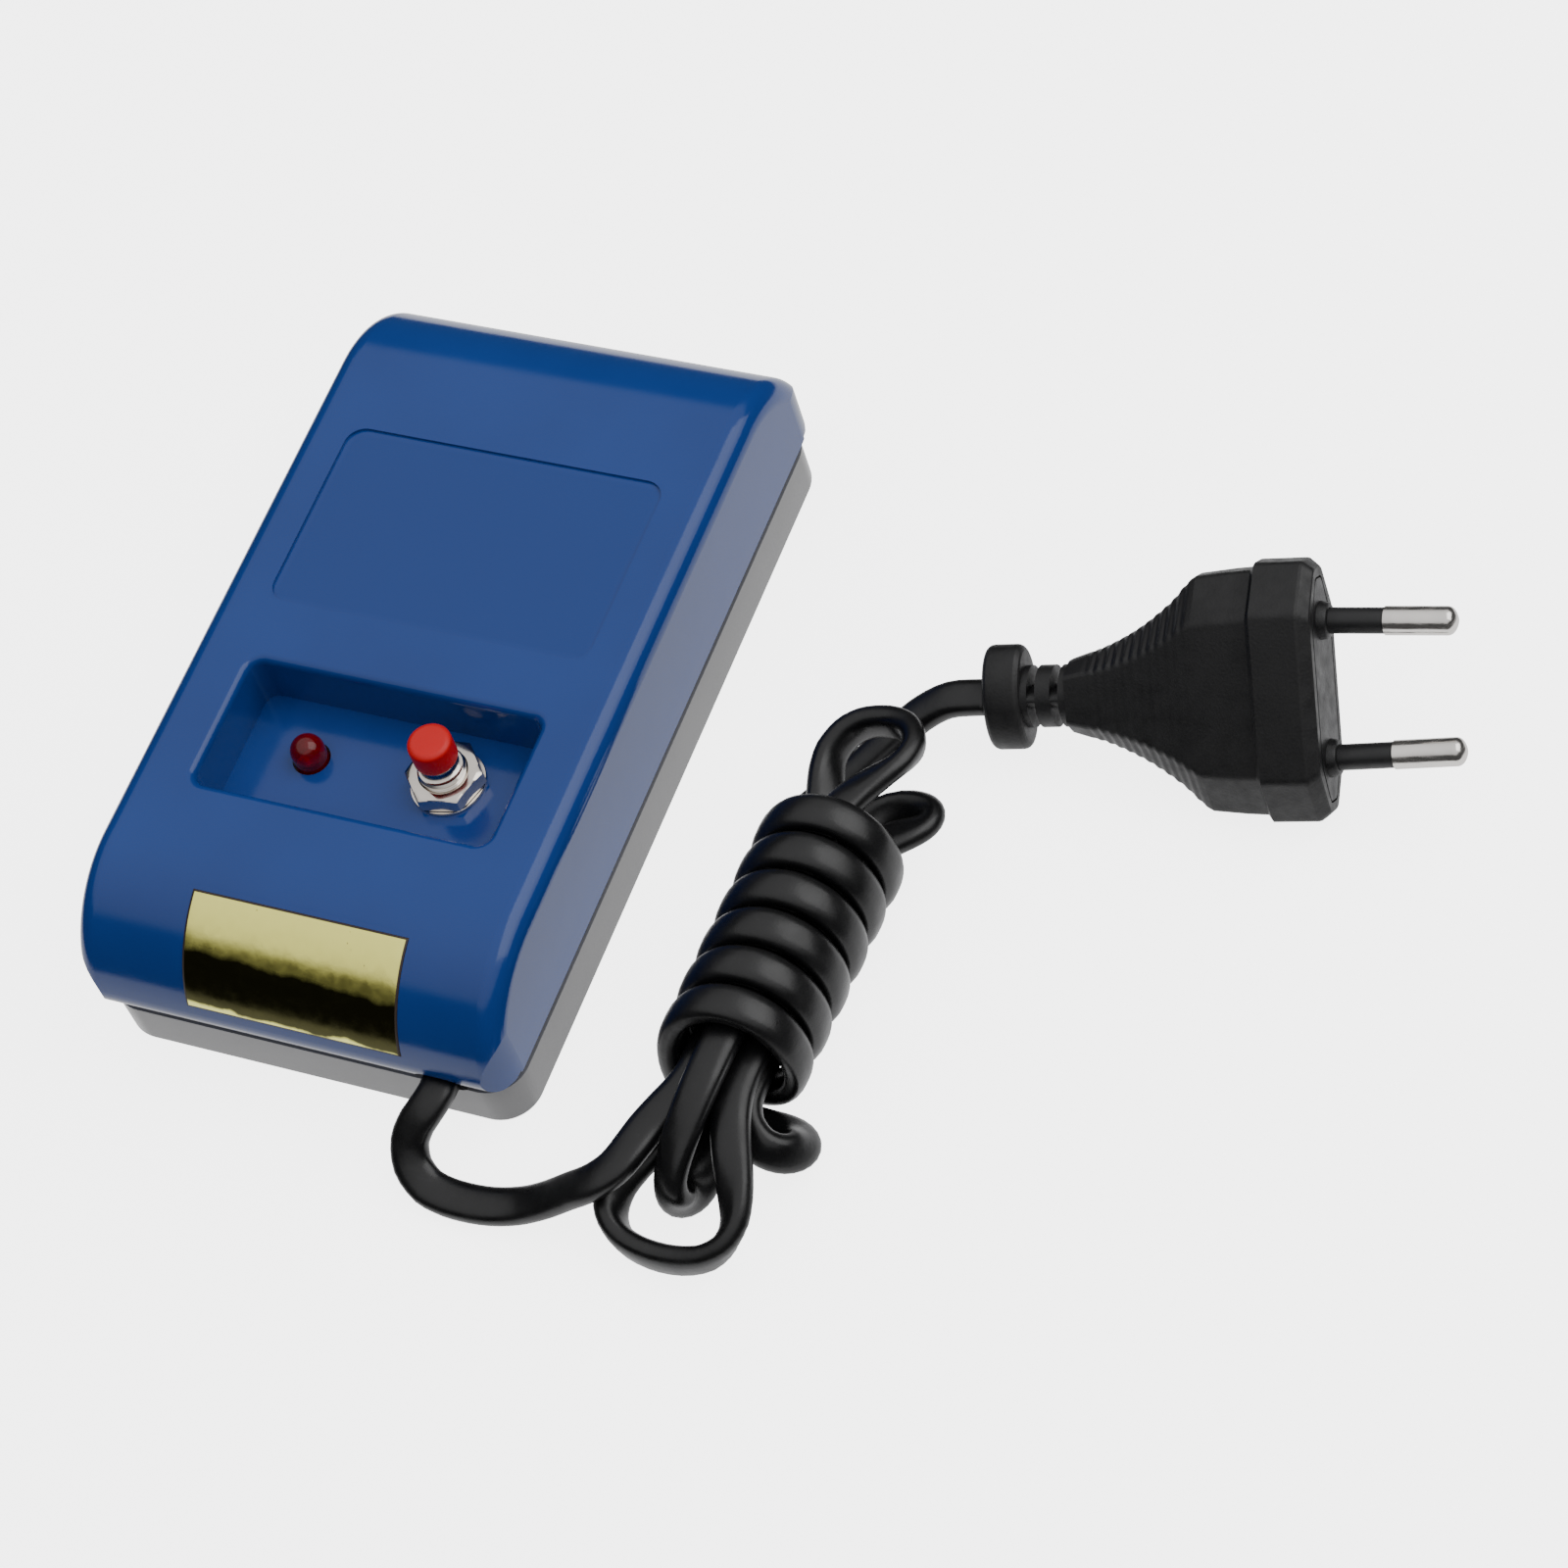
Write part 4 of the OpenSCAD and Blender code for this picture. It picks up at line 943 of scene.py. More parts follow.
def neck_rings(plug):
    """Slotted neck from the collar to the body: narrow where its two slots are."""
    full, thickness = plug.neck
    slots, half, front = (0.0414, 0.038), plug.slot / 2, 0.0345
    places = [(plug.length - plug.collar + 0.0005, full)]
    for middle in slots:
        places += [(middle + half, full), (middle + half, plug.slot_width)]
        places += [(middle - half, plug.slot_width), (middle - half, full)]
    places.append((front, full))
    return [oval_ring(x, width, thickness) for x, width in places]


def collar_rings(plug):
    """Oval collar with rounded edges at the plug's rear."""
    width, thickness = plug.collar_size
    soft = 0.0012

    def edge(start, direction):
        """Sections of one rounded edge, from its full size to its end."""
        arc = []
        for angle in quarter(5):
            cut = 2 * soft * (1 - cos(angle))
            x = start + direction * soft * (1 - sin(angle))
            arc.append(oval_ring(x, width - cut, thickness - cut))
        return arc

    return edge(plug.length, -1)[::-1] + edge(plug.length - plug.collar, 1)


def pin_places(plug):
    """Frame of each pin in the plug's: z out along the pin, from its root in the front face."""
    places = []
    for side in (-1, 1):
        lean = Matrix.Rotation(-side * PIN_LEAN, 4, "Z") @ Matrix.Rotation(pi / 2, 4, "Y")
        places.append(Matrix.Translation((0, side * plug.pin_gap / 2, 0)) @ lean)
    return places


def boss_mesh(plug, pin):
    """Low boss round one pin's root."""
    radius, low, high = plug.pin_width / 2, -0.001, 0.0013
    outline = [(0, low), (radius + 0.0009, low), (radius + 0.0004, high), (0, high)]
    mesh = turned("boss", round_corners(outline, 0.0004), count=40)
    mesh.transform(pin)
    return mesh


def shell_mesh(plug, pins):
    """The plug's moulding: body, neck, collar and bosses."""
    parts = [
        loft("body", taper_rings(plug) + block_rings(plug)),
        loft("neck", neck_rings(plug)),
        loft("collar", collar_rings(plug)),
    ]
    parts += [boss_mesh(plug, pin) for pin in pins]
    return joined_mesh("plug_shell", parts, radians(13))


def pin_mesh(name, plug):
    """One pin: a thinner root inside its sleeve, and a rounded tip."""
    radius, tip, end = plug.pin_width / 2, plug.pin_length, plug.sleeve_length
    core, round_length, shoulder, point = radius - PIN_STEP, 0.0016, 0.0004, 0.0012
    profile = [(0, -PIN_DEPTH), (core, -PIN_DEPTH), (core, end), (radius, end)]
    for a in quarter(10):
        in_by = shoulder * (1 - cos(a)) + point * sin(a) ** 3
        profile.append((radius - in_by, tip - round_length + round_length * sin(a)))
    profile.append((0, tip))
    return turned(name, profile, count=48)


def sleeves_mesh(plug, pins):
    """Both sleeves, from inside the body out along the pins' roots."""
    radius, end, soft = plug.pin_width / 2, plug.sleeve_length, 0.0002
    outer, inner = radius - 0.0002, radius - PIN_STEP
    outline = [
        (inner, -PIN_DEPTH), (inner, end), (outer - soft, end), (outer, end - soft), (outer, -PIN_DEPTH)
    ]
    sleeves = []
    for pin in pins:
        mesh = turned_ring("sleeve", outline, count=48)
        mesh.transform(pin)
        sleeves.append(mesh)
    return joined_mesh("pin_sleeves", sleeves)


class DEMAGNETIZER_OT_plug(bpy.types.Operator):
    """Build the moulded plug, its sleeves and its two pins"""

    bl_idname = "demagnetizer.plug"
    bl_label = "Plug"

    def execute(self, context):
        plug = context.scene.demagnetizer_plug
        place, pins = plug_matrix(), pin_places(plug)
        shell = shell_mesh(plug, pins)
        add_piece(shell, "case", "plug_black", plug_black(plug), "plug_body", place=place)
        metal = pin_metal(plug)
        for name, pin in zip(("plug_pin_lower", "plug_pin_upper"), pins):
            add_piece(pin_mesh(name, plug), "case", "pin_brass", metal, "plug_pins", place=place @ pin)
        black = moulded("sleeve_black", plug.sleeve_color, 0.42)
        add_piece(sleeves_mesh(plug, pins), "case", "sleeve_black", black, "plug_sleeves", place=place)
        return {"FINISHED"}


# Case


class CaseSettings(bpy.types.PropertyGroup):
    """Sizes of the case's parting line, watch rest and falling end, and colours of its mouldings."""

    corner: FloatProperty(
        name="Base corner", description="Corner radius of the base in plan", default=0.0057, unit="LENGTH"
    )
    step_z: FloatProperty(
        name="Step height", description="Where the base's wall is set back", default=0.0082, unit="LENGTH"
    )
    step_depth: FloatProperty(
        name="Step depth", description="How far the base's wall is set back", default=0.0008, unit="LENGTH"
    )
    rest_middle: FloatVectorProperty(
        name="Rest middle", description="Middle of the watch rest",
        default=(0, 0.0147), size=2, unit="LENGTH",
    )
    rest_half: FloatVectorProperty(
        name="Rest half", description="Half the watch rest's width and length",
        default=(0.0253, 0.0156), size=2, unit="LENGTH",
    )
    end_radius: FloatProperty(
        name="End radius", description="Radius of the cover's falling end", default=0.018, unit="LENGTH"
    )
    end_axis: FloatVectorProperty(
        name="End axis", description="Axis of the falling end: along the case and up",
        default=(-0.042, 0.0115), size=2, unit="LENGTH",
    )
    cover_dark: FloatVectorProperty(
        name="Cover dark", description="Blue moulding in its darker clouds",
        default=(0.007, 0.044, 0.22), size=3, min=0, max=1, subtype="COLOR",
    )
    cover_light: FloatVectorProperty(
        name="Cover light", description="Blue moulding in its lighter clouds",
        default=(0.0085, 0.051, 0.25), size=3, min=0, max=1, subtype="COLOR",
    )
    rest_color: FloatVectorProperty(
        name="Rest", description="Blue moulding in the watch rest",
        default=(0.003, 0.04, 0.215), size=3, min=0, max=1, subtype="COLOR",
    )
    base_color: FloatVectorProperty(
        name="Base", description="Grey moulding of the base",
        default=(0.17, 0.17, 0.172), size=3, min=0, max=1, subtype="COLOR",
    )
    screw_color: FloatVectorProperty(
        name="Screws", description="Zinc plate of screws and brackets",
        default=(0.55, 0.56, 0.58), size=3, min=0, max=1, subtype="COLOR",
    )


def base_body():
    """The base's own mesh, ready for an edit, and its editable copy."""
    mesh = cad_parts["base_tray"].data.copy()
    mesh.name = "grey_base"
    mesh.materials.clear()
    if "custom_normal" in mesh.attributes:
        mesh.attributes.remove(mesh.attributes["custom_normal"])
    body = bmesh.new()
    body.from_mesh(mesh)
    bmesh.ops.remove_doubles(body, verts=body.verts, dist=SAME_BASE_POINT)
    return mesh, body


def stepped_base(case):
    """The base's own mesh, with its wall set back below the cover so that the parting line is in shade."""
    mesh, body = base_body()
    for height in (case.step_z, case.step_z + case.step_depth * 0.2):
        parts = body.verts[:] + body.edges[:] + body.faces[:]
        bmesh.ops.bisect_plane(
            body, geom=parts, plane_co=(0, 0, height), plane_no=UP, dist=SAME_BASE_POINT
        )
    _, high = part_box("base_tray")
    inner = Vector((high.x - case.corner, high.y - case.corner))
    wall, above = case.corner - 0.0003, case.step_z + 0.00005
    for vert in body.verts:
        core = Vector((min(inner.x, max(-inner.x, vert.co.x)), min(inner.y, max(-inner.y, vert.co.y))))
        away = vert.co.xy - core
        if away.length > wall and vert.co.z > above:
            vert.co.xy -= away.normalized() * case.step_depth
    body.to_mesh(mesh)
    body.free()
    mesh.shade_smooth()
    mesh.set_sharp_from_angle(angle=radians(30))
    return mesh


class DEMAGNETIZER_OT_case(bpy.types.Operator):
    """Set the base back below the cover, and give the case and its screws their finishes"""

    bl_idname = "demagnetizer.case"
    bl_label = "Case"

    def execute(self, context):
        case = context.scene.demagnetizer_case
        finish_nodes(cover_blue(case), "top_cover")
        add_piece(stepped_base(case), "case", "base_grey", base_grey(case), "base_tray")
        zinc = machined("zinc_steel", case.screw_color, 0.32)
        finish_nodes(zinc, "case_screws", "board_screws", "bracket_screws", "clamp_screws")
        finish_nodes(zinc, "cord_clamp", "core_bracket")
        return {"FINISHED"}


# Foil plate


class FoilSettings(bpy.types.PropertyGroup):
    """Sizes and colours of the foil plate on the cover's falling end."""

    width: FloatProperty(name="Width", description="Width of the foil plate", default=0.0334, unit="LENGTH")
    middle: FloatProperty(
        name="Middle", description="Middle of the plate across the case", default=0.0014, unit="LENGTH"
    )
    top: FloatProperty(
        name="Top", description="Upper edge from the top of the end", default=radians(19), subtype="ANGLE"
    )
    span: FloatProperty(
        name="Span", description="What the plate spans round the end", default=radians(56.4), subtype="ANGLE"
    )
    rise: FloatProperty(
        name="Thickness", description="Height of the foil over the cover", default=0.00014, unit="LENGTH"
    )
    # Heights that bound the painted dark reflection band across the foil's lower part
    dark_reflection_top: FloatVectorProperty(
        name="Band top", description="Heights between which the tarnish ends above",
        default=(0.0236, 0.0242), size=2, unit="LENGTH",
    )
    dark_reflection_foot: FloatVectorProperty(
        name="Band foot", description="Heights between which the tarnish begins",
        default=(0.0166, 0.0171), size=2, unit="LENGTH",
    )
    gold: FloatVectorProperty(
        name="Gold", description="Clean foil",
        default=(1.0, 0.96, 0.25), size=3, min=0, max=1, subtype="COLOR",
    )
    pinhole: FloatVectorProperty(
        name="Pinholes", description="Pinholes in the clean foil",
        default=(0.4, 0.36, 0.1), size=3, min=0, max=1, subtype="COLOR",
    )
    # Colours of the painted dark reflection band and of the painted bright reflection strip under it
    painted_dark_reflection: FloatVectorProperty(
        name="Painted dark reflection", description="Dark olive band",
        default=(0.06, 0.057, 0.02), size=3, min=0, max=1, subtype="COLOR",
    )
    strip: FloatVectorProperty(
        name="Strip", description="Bright strip along the lower edge",
        default=(0.9, 0.88, 0.26), size=3, min=0, max=1, subtype="COLOR",
    )
    # Colour of the foil's dark rim
    edge: FloatVectorProperty(
        name="Edge", description="Cut edge and adhesive",
        default=(0.035, 0.02, 0.015), size=3, min=0, max=1, subtype="COLOR",
    )


def foil_places(count, size):
    """Places along one side of the foil: three close together at each end, and even between."""
    inner = [FOIL_RIM + (size - 2 * FOIL_RIM) * i / (count - 4) for i in range(count - 3)]
    return [0, FOIL_RIM * 0.35] + inner + [size - FOIL_RIM * 0.35, size]


def foil_mesh(case, foil):
    """The foil's face, bent round the cover's falling end, its rim sinking down to the cover."""
    lift = (0, foil.rise * 0.8, foil.rise)
    axis_y, axis_z = case.end_axis
    points = []
    for i, v in enumerate(foil_places(FOIL_ROWS, foil.span * case.end_radius)):
        angle = foil.top + v / case.end_radius
        for j, u in enumerate(foil_places(FOIL_COLUMNS, foil.width)):
            from_rim = min(i, j, FOIL_ROWS - i, FOIL_COLUMNS - j, 2)
            radius = case.end_radius + FOIL_GAP + lift[from_rim]
            x = foil.middle - foil.width / 2 + u
            points.append((x, axis_y - radius * sin(angle), axis_z + radius * cos(angle)))
    wide = FOIL_COLUMNS + 1
    faces = [
        (i * wide + j, (i + 1) * wide + j, (i + 1) * wide + j + 1, i * wide + j + 1)
        for i in range(FOIL_ROWS)
        for j in range(FOIL_COLUMNS)
    ]
    return mesh_of("foil_plate", points, faces, closed=False)


class DEMAGNETIZER_OT_foil(bpy.types.Operator):
    """Lay the bare gold foil on the front end"""

    bl_idname = "demagnetizer.foil"
    bl_label = "Foil plate"

    def execute(self, context):
        foil = context.scene.demagnetizer_foil
        mesh = foil_mesh(context.scene.demagnetizer_case, foil)
        piece = add_piece(mesh, "case", "gold_foil", gold_foil(foil), "label_plate")
        mesh.materials.append(foil_edge(foil))
        for polygon in mesh.polygons:
            i, j = divmod(polygon.index, FOIL_COLUMNS)
            on_rim = min(i, j, FOIL_ROWS - 1 - i, FOIL_COLUMNS - 1 - j) < 2
            polygon.material_index = 1 if on_rim else 0
        solid = piece.modifiers.new("thickness", "SOLIDIFY")
        solid.thickness = FOIL_GAP
        solid.offset = -1
        return {"FINISHED"}


# Push button


class ButtonSettings(bpy.types.PropertyGroup):
    """Sizes and colours of the push button."""

    cap_edge: FloatProperty(
        name="Cap edge", description="Rounding of the cap's top edge", default=0.0006, unit="LENGTH"
    )
    stem: FloatProperty(
        name="Stem", description="Diameter of the plunger's stem", default=0.0034, unit="LENGTH"
    )
    bushing: FloatProperty(
        name="Bushing", description="Diameter of the threaded bushing", default=0.007, unit="LENGTH"
    )
    thread: FloatProperty(
        name="Thread", description="Pitch of the bushing's thread", default=0.0005, unit="LENGTH"
    )
    nut_flats: FloatProperty(
        name="Nut", description="Width of the nut across its flats", default=0.01, unit="LENGTH"
    )
    nut_turn: FloatProperty(
        name="Nut turn", description="Turn of the nut", default=radians(12), subtype="ANGLE"
    )
    washer_hole: FloatProperty(
        name="Washer hole", description="Diameter of the washer's hole", default=0.0072, unit="LENGTH"
    )
    cap_color: FloatVectorProperty(
        name="Cap", description="Red moulding of the cap",
        default=(0.66, 0.008, 0.008), size=3, min=0, max=1, subtype="COLOR",
    )
    metal_color: FloatVectorProperty(
        name="Metal", description="Nickel plate of the bushing, nut, washer and stem",
        default=(0.72, 0.67, 0.61), size=3, min=0, max=1, subtype="COLOR",
    )


def cap_mesh(button, at):
    """Cap with a hollow underside and a top that is a little domed."""
    low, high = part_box("button_cap")
    radius, edge, soft = radius_of("button_cap"), button.cap_edge, 0.0001
    wall, roof = 0.0005, low.z + 0.0009
    profile = [
        (0, roof), (radius - wall, roof), (radius - wall, low.z), (radius - soft, low.z),
        (radius, low.z + soft), (radius, high.z - edge * 0.9), (radius - edge, high.z - soft / 2),
        (0, high.z),
    ]
    return turned("red_cap", round_corners(profile, edge * 0.6, 5), at)


def stem_mesh(button, at):
    """Plunger: a pin in the switch, a collar under the chamber's roof, and the stem."""
    low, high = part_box("button_plunger")
    stem, collar, pin = button.stem / 2, radius_of("button_plunger"), 0.001
    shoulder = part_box("switch_body")[1].z - CHAMBER_ROOF - RUN_GAP
    foot = shoulder - COLLAR_HEIGHT
    profile = [
        (0, low.z), (pin, low.z), (pin, foot), (collar, foot),
        (collar, shoulder), (stem, shoulder), (stem, high.z), (0, high.z),
    ]
    return turned("cap_stem", round_corners(profile, 0.0001, 2), at)


def thread_outline(radius, low, shoulder, pitch):
    """Outside of the bushing's thread, from its foot up to the shoulder."""
    outline = [(radius - pitch * 0.4, low)]
    z = low + pitch * 0.5
    while z < shoulder - pitch:
        outline += [(radius, z), (radius, z + pitch * 0.15), (radius - pitch * 0.45, z + pitch * 0.5)]
        z += pitch
    return outline + [(radius, shoulder - pitch * 0.9), (radius, shoulder - 0.00025)]


def nose_outline(radius, shoulder, top):
    """The bushing's nose, which falls away from its shoulder like a trumpet to a thin neck."""
    foot, neck, flare, soft = radius - 0.0003, 0.0022, 0.00115, 0.0001
    outline = [(radius - 0.00025, shoulder), (foot, shoulder + 0.00005)]
    outline += [
        (foot - (foot - neck) * sin(a), shoulder + 0.00015 + flare * (1 - cos(a))) for a in quarter(12)
    ]
    return outline + [(neck, top - soft), (neck - soft, top)]


def bushing_mesh(button, at):
    """Threaded bushing that the stem runs in."""
    low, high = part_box("switch_bushing")
    radius, bore, shoulder = button.bushing / 2, button.stem / 2 + RUN_GAP, high.z - NOSE_HEIGHT
    outline = [(bore, low.z)] + thread_outline(radius, low.z, shoulder, button.thread)
    outline += nose_outline(radius, shoulder, high.z) + [(bore, high.z)]
    return turned_ring("threaded_bushing", outline, at, count=72)


def nut_mesh(button, at, count=144):
    """Hexagon nut whose corners a cone has chamfered at the top and bottom."""
    low, high = (corner.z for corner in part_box("switch_nut"))
    half, bore = button.nut_flats / 2, button.bushing / 2 + 0.00002
    face, slope, soft = half * 0.94, 0.5, 0.00012
    start = Vector((*at, 0))
    rings = [[] for _ in range(8)]
    for j in range(count):
        angle = -tau * j / count
        reach = half / cos((angle - button.nut_turn) % (pi / 3) - pi / 6)
        cut = max(0, reach - half * 0.985) * slope
        direction = Vector((cos(angle), sin(angle), 0))
        places = [
            (bore, low), (face, low), (reach - soft, low + cut * 0.5), (reach, low + cut * 0.5 + soft),
            (reach, high - cut - soft), (reach - soft, high - cut), (face, high), (bore + soft, high),
        ]
        for ring, (radius, z) in zip(rings, places):
            ring.append(start + direction * radius + UP * z)
    return ring_body("hexagon_nut", rings, radians(26))


def washer_mesh(button, at):
    """Flat washer with softened edges."""
    low, high = (corner.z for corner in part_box("switch_washer"))
    outer, inner, soft = radius_of("switch_washer"), button.washer_hole / 2, 0.00008
    outline = [
        (inner, low), (outer - soft, low), (outer, low + soft), (outer, high - soft),
        (outer - soft, high), (inner + soft, high), (inner, high - soft),
    ]
    return turned_ring("flat_washer", outline, at, count=72)


class DEMAGNETIZER_OT_button(bpy.types.Operator):
    """Turn the cap, plunger, threaded bushing, nut and washer of the push button"""

    bl_idname = "demagnetizer.button"
    bl_label = "Push button"

    def execute(self, context):
        button = context.scene.demagnetizer_button
        at = middle_of("switch_nut")
        plate = nickel(button)
        add_piece(cap_mesh(button, at), "button", "cap_red", cap_red(button), "button_cap")
        add_piece(stem_mesh(button, at), "button", "nickel", plate, "button_plunger")
        add_piece(bushing_mesh(button, at), "case", "nickel", plate, "switch_bushing")
        add_piece(nut_mesh(button, at), "case", "nickel", plate, "switch_nut")
        add_piece(washer_mesh(button, at), "case", "nickel", plate, "switch_washer")
        return {"FINISHED"}


# Lamp


class LampSettings(bpy.types.PropertyGroup):
    """Sizes and colours of the lamp."""

    width: FloatProperty(name="Width", description="Diameter of the lamp", default=0.005, unit="LENGTH")
    flange: FloatProperty(
        name="Flange", description="Diameter of the lamp's flange", default=0.0059, unit="LENGTH"
    )
    flange_height: FloatProperty(
        name="Flange height", description="Height of the lamp's flange", default=0.001, unit="LENGTH"
    )
    dark: FloatVectorProperty(
        name="Dark", description="Red epoxy in its darker clouds",
        default=(0.2, 0.0008, 0.004), size=3, min=0, max=1, subtype="COLOR",
    )
    light: FloatVectorProperty(
        name="Light", description="Red epoxy in its lighter clouds",
        default=(0.34, 0.0015, 0.008), size=3, min=0, max=1, subtype="COLOR",
    )
    cup_color: FloatVectorProperty(
        name="Cup", description="Metal of the cup inside",
        default=(0.4, 0.36, 0.34), size=3, min=0, max=1, subtype="COLOR",
    )


def lens_mesh(lamp, at, dome):
    """Lamp's body: a flange with softened edges, a barrel, and a dome from that height."""
    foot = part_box("led_body")[0].z
    radius, rim, soft = lamp.width / 2, lamp.flange / 2, 0.0001
    top = foot + lamp.flange_height
    profile = [(0, foot), (rim - soft, foot), (rim, foot + soft)]
    profile += [(rim, top - soft), (rim - soft, top), (radius, top)]
    profile += [(radius * cos(a), dome + radius * sin(a)) for a in quarter(20)]
    return turned("lamp_lens", profile, at)


def cup_mesh(at, dome):
    """Stem and reflecting cup inside the lamp, below its dome."""
    stem, lip = 0.0006, 0.0012
    profile = [
        (0, dome - 0.0045), (stem, dome - 0.0045), (stem, dome - 0.0026), (lip, dome - 0.0014),
        (lip - 0.0002, dome - 0.0014), (stem, dome - 0.002), (0, dome - 0.002),
    ]
    return turned("lamp_cup", round_corners(profile, 0.0001, 2), at, count=40)


class DEMAGNETIZER_OT_lamp(bpy.types.Operator):
    """Turn the red lamp and the cup inside it"""

    bl_idname = "demagnetizer.lamp"
    bl_label = "Lamp"

    def execute(self, context):
        lamp = context.scene.demagnetizer_lamp
        at = middle_of("led_body")
        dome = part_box("led_body")[1].z - lamp.width / 2
        add_piece(lens_mesh(lamp, at, dome), "case", "lamp_red", lamp_red(lamp), "led_body")
        add_piece(cup_mesh(at, dome), "case", "tinned_wire", machined("lamp_cup", lamp.cup_color, 0.35))
        return {"FINISHED"}


# Inside

# Inner wires, as in the part's source: colour, CAD node, and points
WIRES = (
    ("brown", "live_wire", (
        (0.02365, -0.0432, 0.0103), (0.0221, -0.0423, 0.0101), (0.0201, -0.039, 0.0089),
        (0.0175, -0.032, 0.007), (0.0145, -0.0251, 0.0065), (0.01105, -0.0204, 0.0061),
    )),
    ("blue", "neutral_wire", (
        (0.02095, -0.0435, 0.0103), (0.02005, -0.0422, 0.0103), (0.0155, -0.0385, 0.0086),
        (0.004, -0.0311, 0.0054), (-0.006, -0.02, 0.0046), (-0.0105, -0.01, 0.0056),
        (-0.01, -0.0045, 0.0113),
    )),
    ("red", "switch_wire", (
        (0.00735, -0.0178, 0.0061), (0.0073, -0.014, 0.0056), (0.009, -0.009, 0.007),
        (0.01, -0.006, 0.009), (0.01, -0.0045, 0.0113),
    )),
)
LAMP_WIRES = (
    ((-0.0047, -0.0164, 0.0143), (-0.0039, -0.0163, 0.012), (-0.0013, -0.0168, 0.0094),
     (0.005, -0.0185, 0.0064), (0.00545, -0.0191, 0.0065)),
    ((-0.0167, -0.0152, 0.0143), (-0.0167, -0.0146, 0.012), (-0.0113, -0.0112, 0.0115),
     (-0.0091, -0.008, 0.011), (-0.0089, -0.0038, 0.0126)),
)


class InsideSettings(bpy.types.PropertyGroup):
    """Sizes and colours of the parts inside the case."""

    wire: FloatProperty(
        name="Wire", description="Diameter of the mains wires", default=0.0016, unit="LENGTH"
    )
    lamp_wire: FloatProperty(
        name="Lamp wire", description="Diameter of the lamp's wires", default=0.001, unit="LENGTH"
    )
    spring_wire: FloatProperty(
        name="Spring wire", description="Diameter of the spring's wire", default=0.00045, unit="LENGTH"
    )
    spring_turns: IntProperty(name="Spring turns", description="Turns of the spring", default=5, min=1)
    brown: FloatVectorProperty(
        name="Live", description="Insulation of the live wire",
        default=(0.17, 0.06, 0.025), size=3, min=0, max=1, subtype="COLOR",
    )
    blue: FloatVectorProperty(
        name="Neutral", description="Insulation of the neutral wire",
        default=(0.02, 0.09, 0.42), size=3, min=0, max=1, subtype="COLOR",
    )
    red: FloatVectorProperty(
        name="Switched", description="Insulation of the switch's wire",
        default=(0.5, 0.015, 0.012), size=3, min=0, max=1, subtype="COLOR",
    )
    white: FloatVectorProperty(
        name="Lamp wires", description="Insulation of the lamp's wires",
        default=(0.68, 0.68, 0.64), size=3, min=0, max=1, subtype="COLOR",
    )
    copper: FloatVectorProperty(
        name="Winding", description="Enamelled copper of the coil",
        default=(0.72, 0.27, 0.1), size=3, min=0, max=1, subtype="COLOR",
    )
    bobbin: FloatVectorProperty(
        name="Bobbin", description="Plastic of the coil's bobbin",
        default=(0.72, 0.68, 0.55), size=3, min=0, max=1, subtype="COLOR",
    )
    tape: FloatVectorProperty(
        name="Tape", description="Tape round the coil",
        default=(0.75, 0.55, 0.1), size=3, min=0, max=1, subtype="COLOR",
    )
    core: FloatVectorProperty(
        name="Core", description="Steel of the core's plates",
        default=(0.3, 0.31, 0.33), size=3, min=0, max=1, subtype="COLOR",
    )
    board: FloatVectorProperty(
        name="Board", description="Lamp's circuit board",
        default=(0.012, 0.11, 0.04), size=3, min=0, max=1, subtype="COLOR",
    )


def wire_mesh(name, points, width):
    """A round wire through the points."""
    points = [Vector(p) for p in points]
    along = tangents(points)
    upright = abs(along[0].z) >= 0.9
    up = Vector((1, 0, 0)) if upright else UP
    ups = []
    for tangent in along:
        up = square_to(up, tangent)
        ups.append(up)
    centres, ups = follow(points, ups, 0.0007)
    return tube(name, centres, ups, oval(width, width, 14))


def add_wires(inside):
    """The coloured wires between the cord, switch and coil, and the lamp's two wires."""
    for color, node, points in WIRES:
        finish = wire_finish(color, getattr(inside, color))
        add_piece(wire_mesh(f"{color}_lead", points, inside.wire), "case", "wire_" + color, finish, node)
    finish = wire_finish("white", inside.white)
    for number, points in enumerate(LAMP_WIRES, 1):
        mesh = wire_mesh(f"lamp_lead_{number}", points, inside.lamp_wire)
        add_piece(mesh, "case", "wire_white", finish, "led_wires")


def add_inner_cord(cord):
    """The cord's end inside the case, through its clamp."""
    low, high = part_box("inner_cord")
    steps, middle = 12, (low.x + high.x) / 2
    rows = [Vector((middle, high.y - (high.y - low.y) * i / steps, EXIT_HEIGHT)) for i in range(steps + 1)]
    mesh = tube("cord_inside", rows, [UP] * len(rows), cord_section(cord))
    add_piece(mesh, "case", "cord_black", bpy.data.materials["cord_black"], "inner_cord")


def add_spring(inside):
    """The return spring under the plunger, which the button presses together."""
    low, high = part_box("switch_spring")
    at, wire, steps = middle_of("switch_spring"), inside.spring_wire, 40
    radius = radius_of("switch_spring") - wire / 2
    count = inside.spring_turns * steps
    centres = []
    for i in range(count + 1):
        angle = tau * i / steps
        z = low.z + wire / 2 + (high.z - low.z - wire) * i / count
        centres.append(Vector((at[0] + radius * cos(angle), at[1] + radius * sin(angle), z)))
    mesh = tube("button_spring", centres, [UP] * len(centres), oval(wire, wire, 12))
    steel = machined("spring_steel", (0.6, 0.6, 0.6), 0.22)
    spring = add_piece(mesh, "case", "spring_steel", steel, "switch_spring")
    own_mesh(spring)


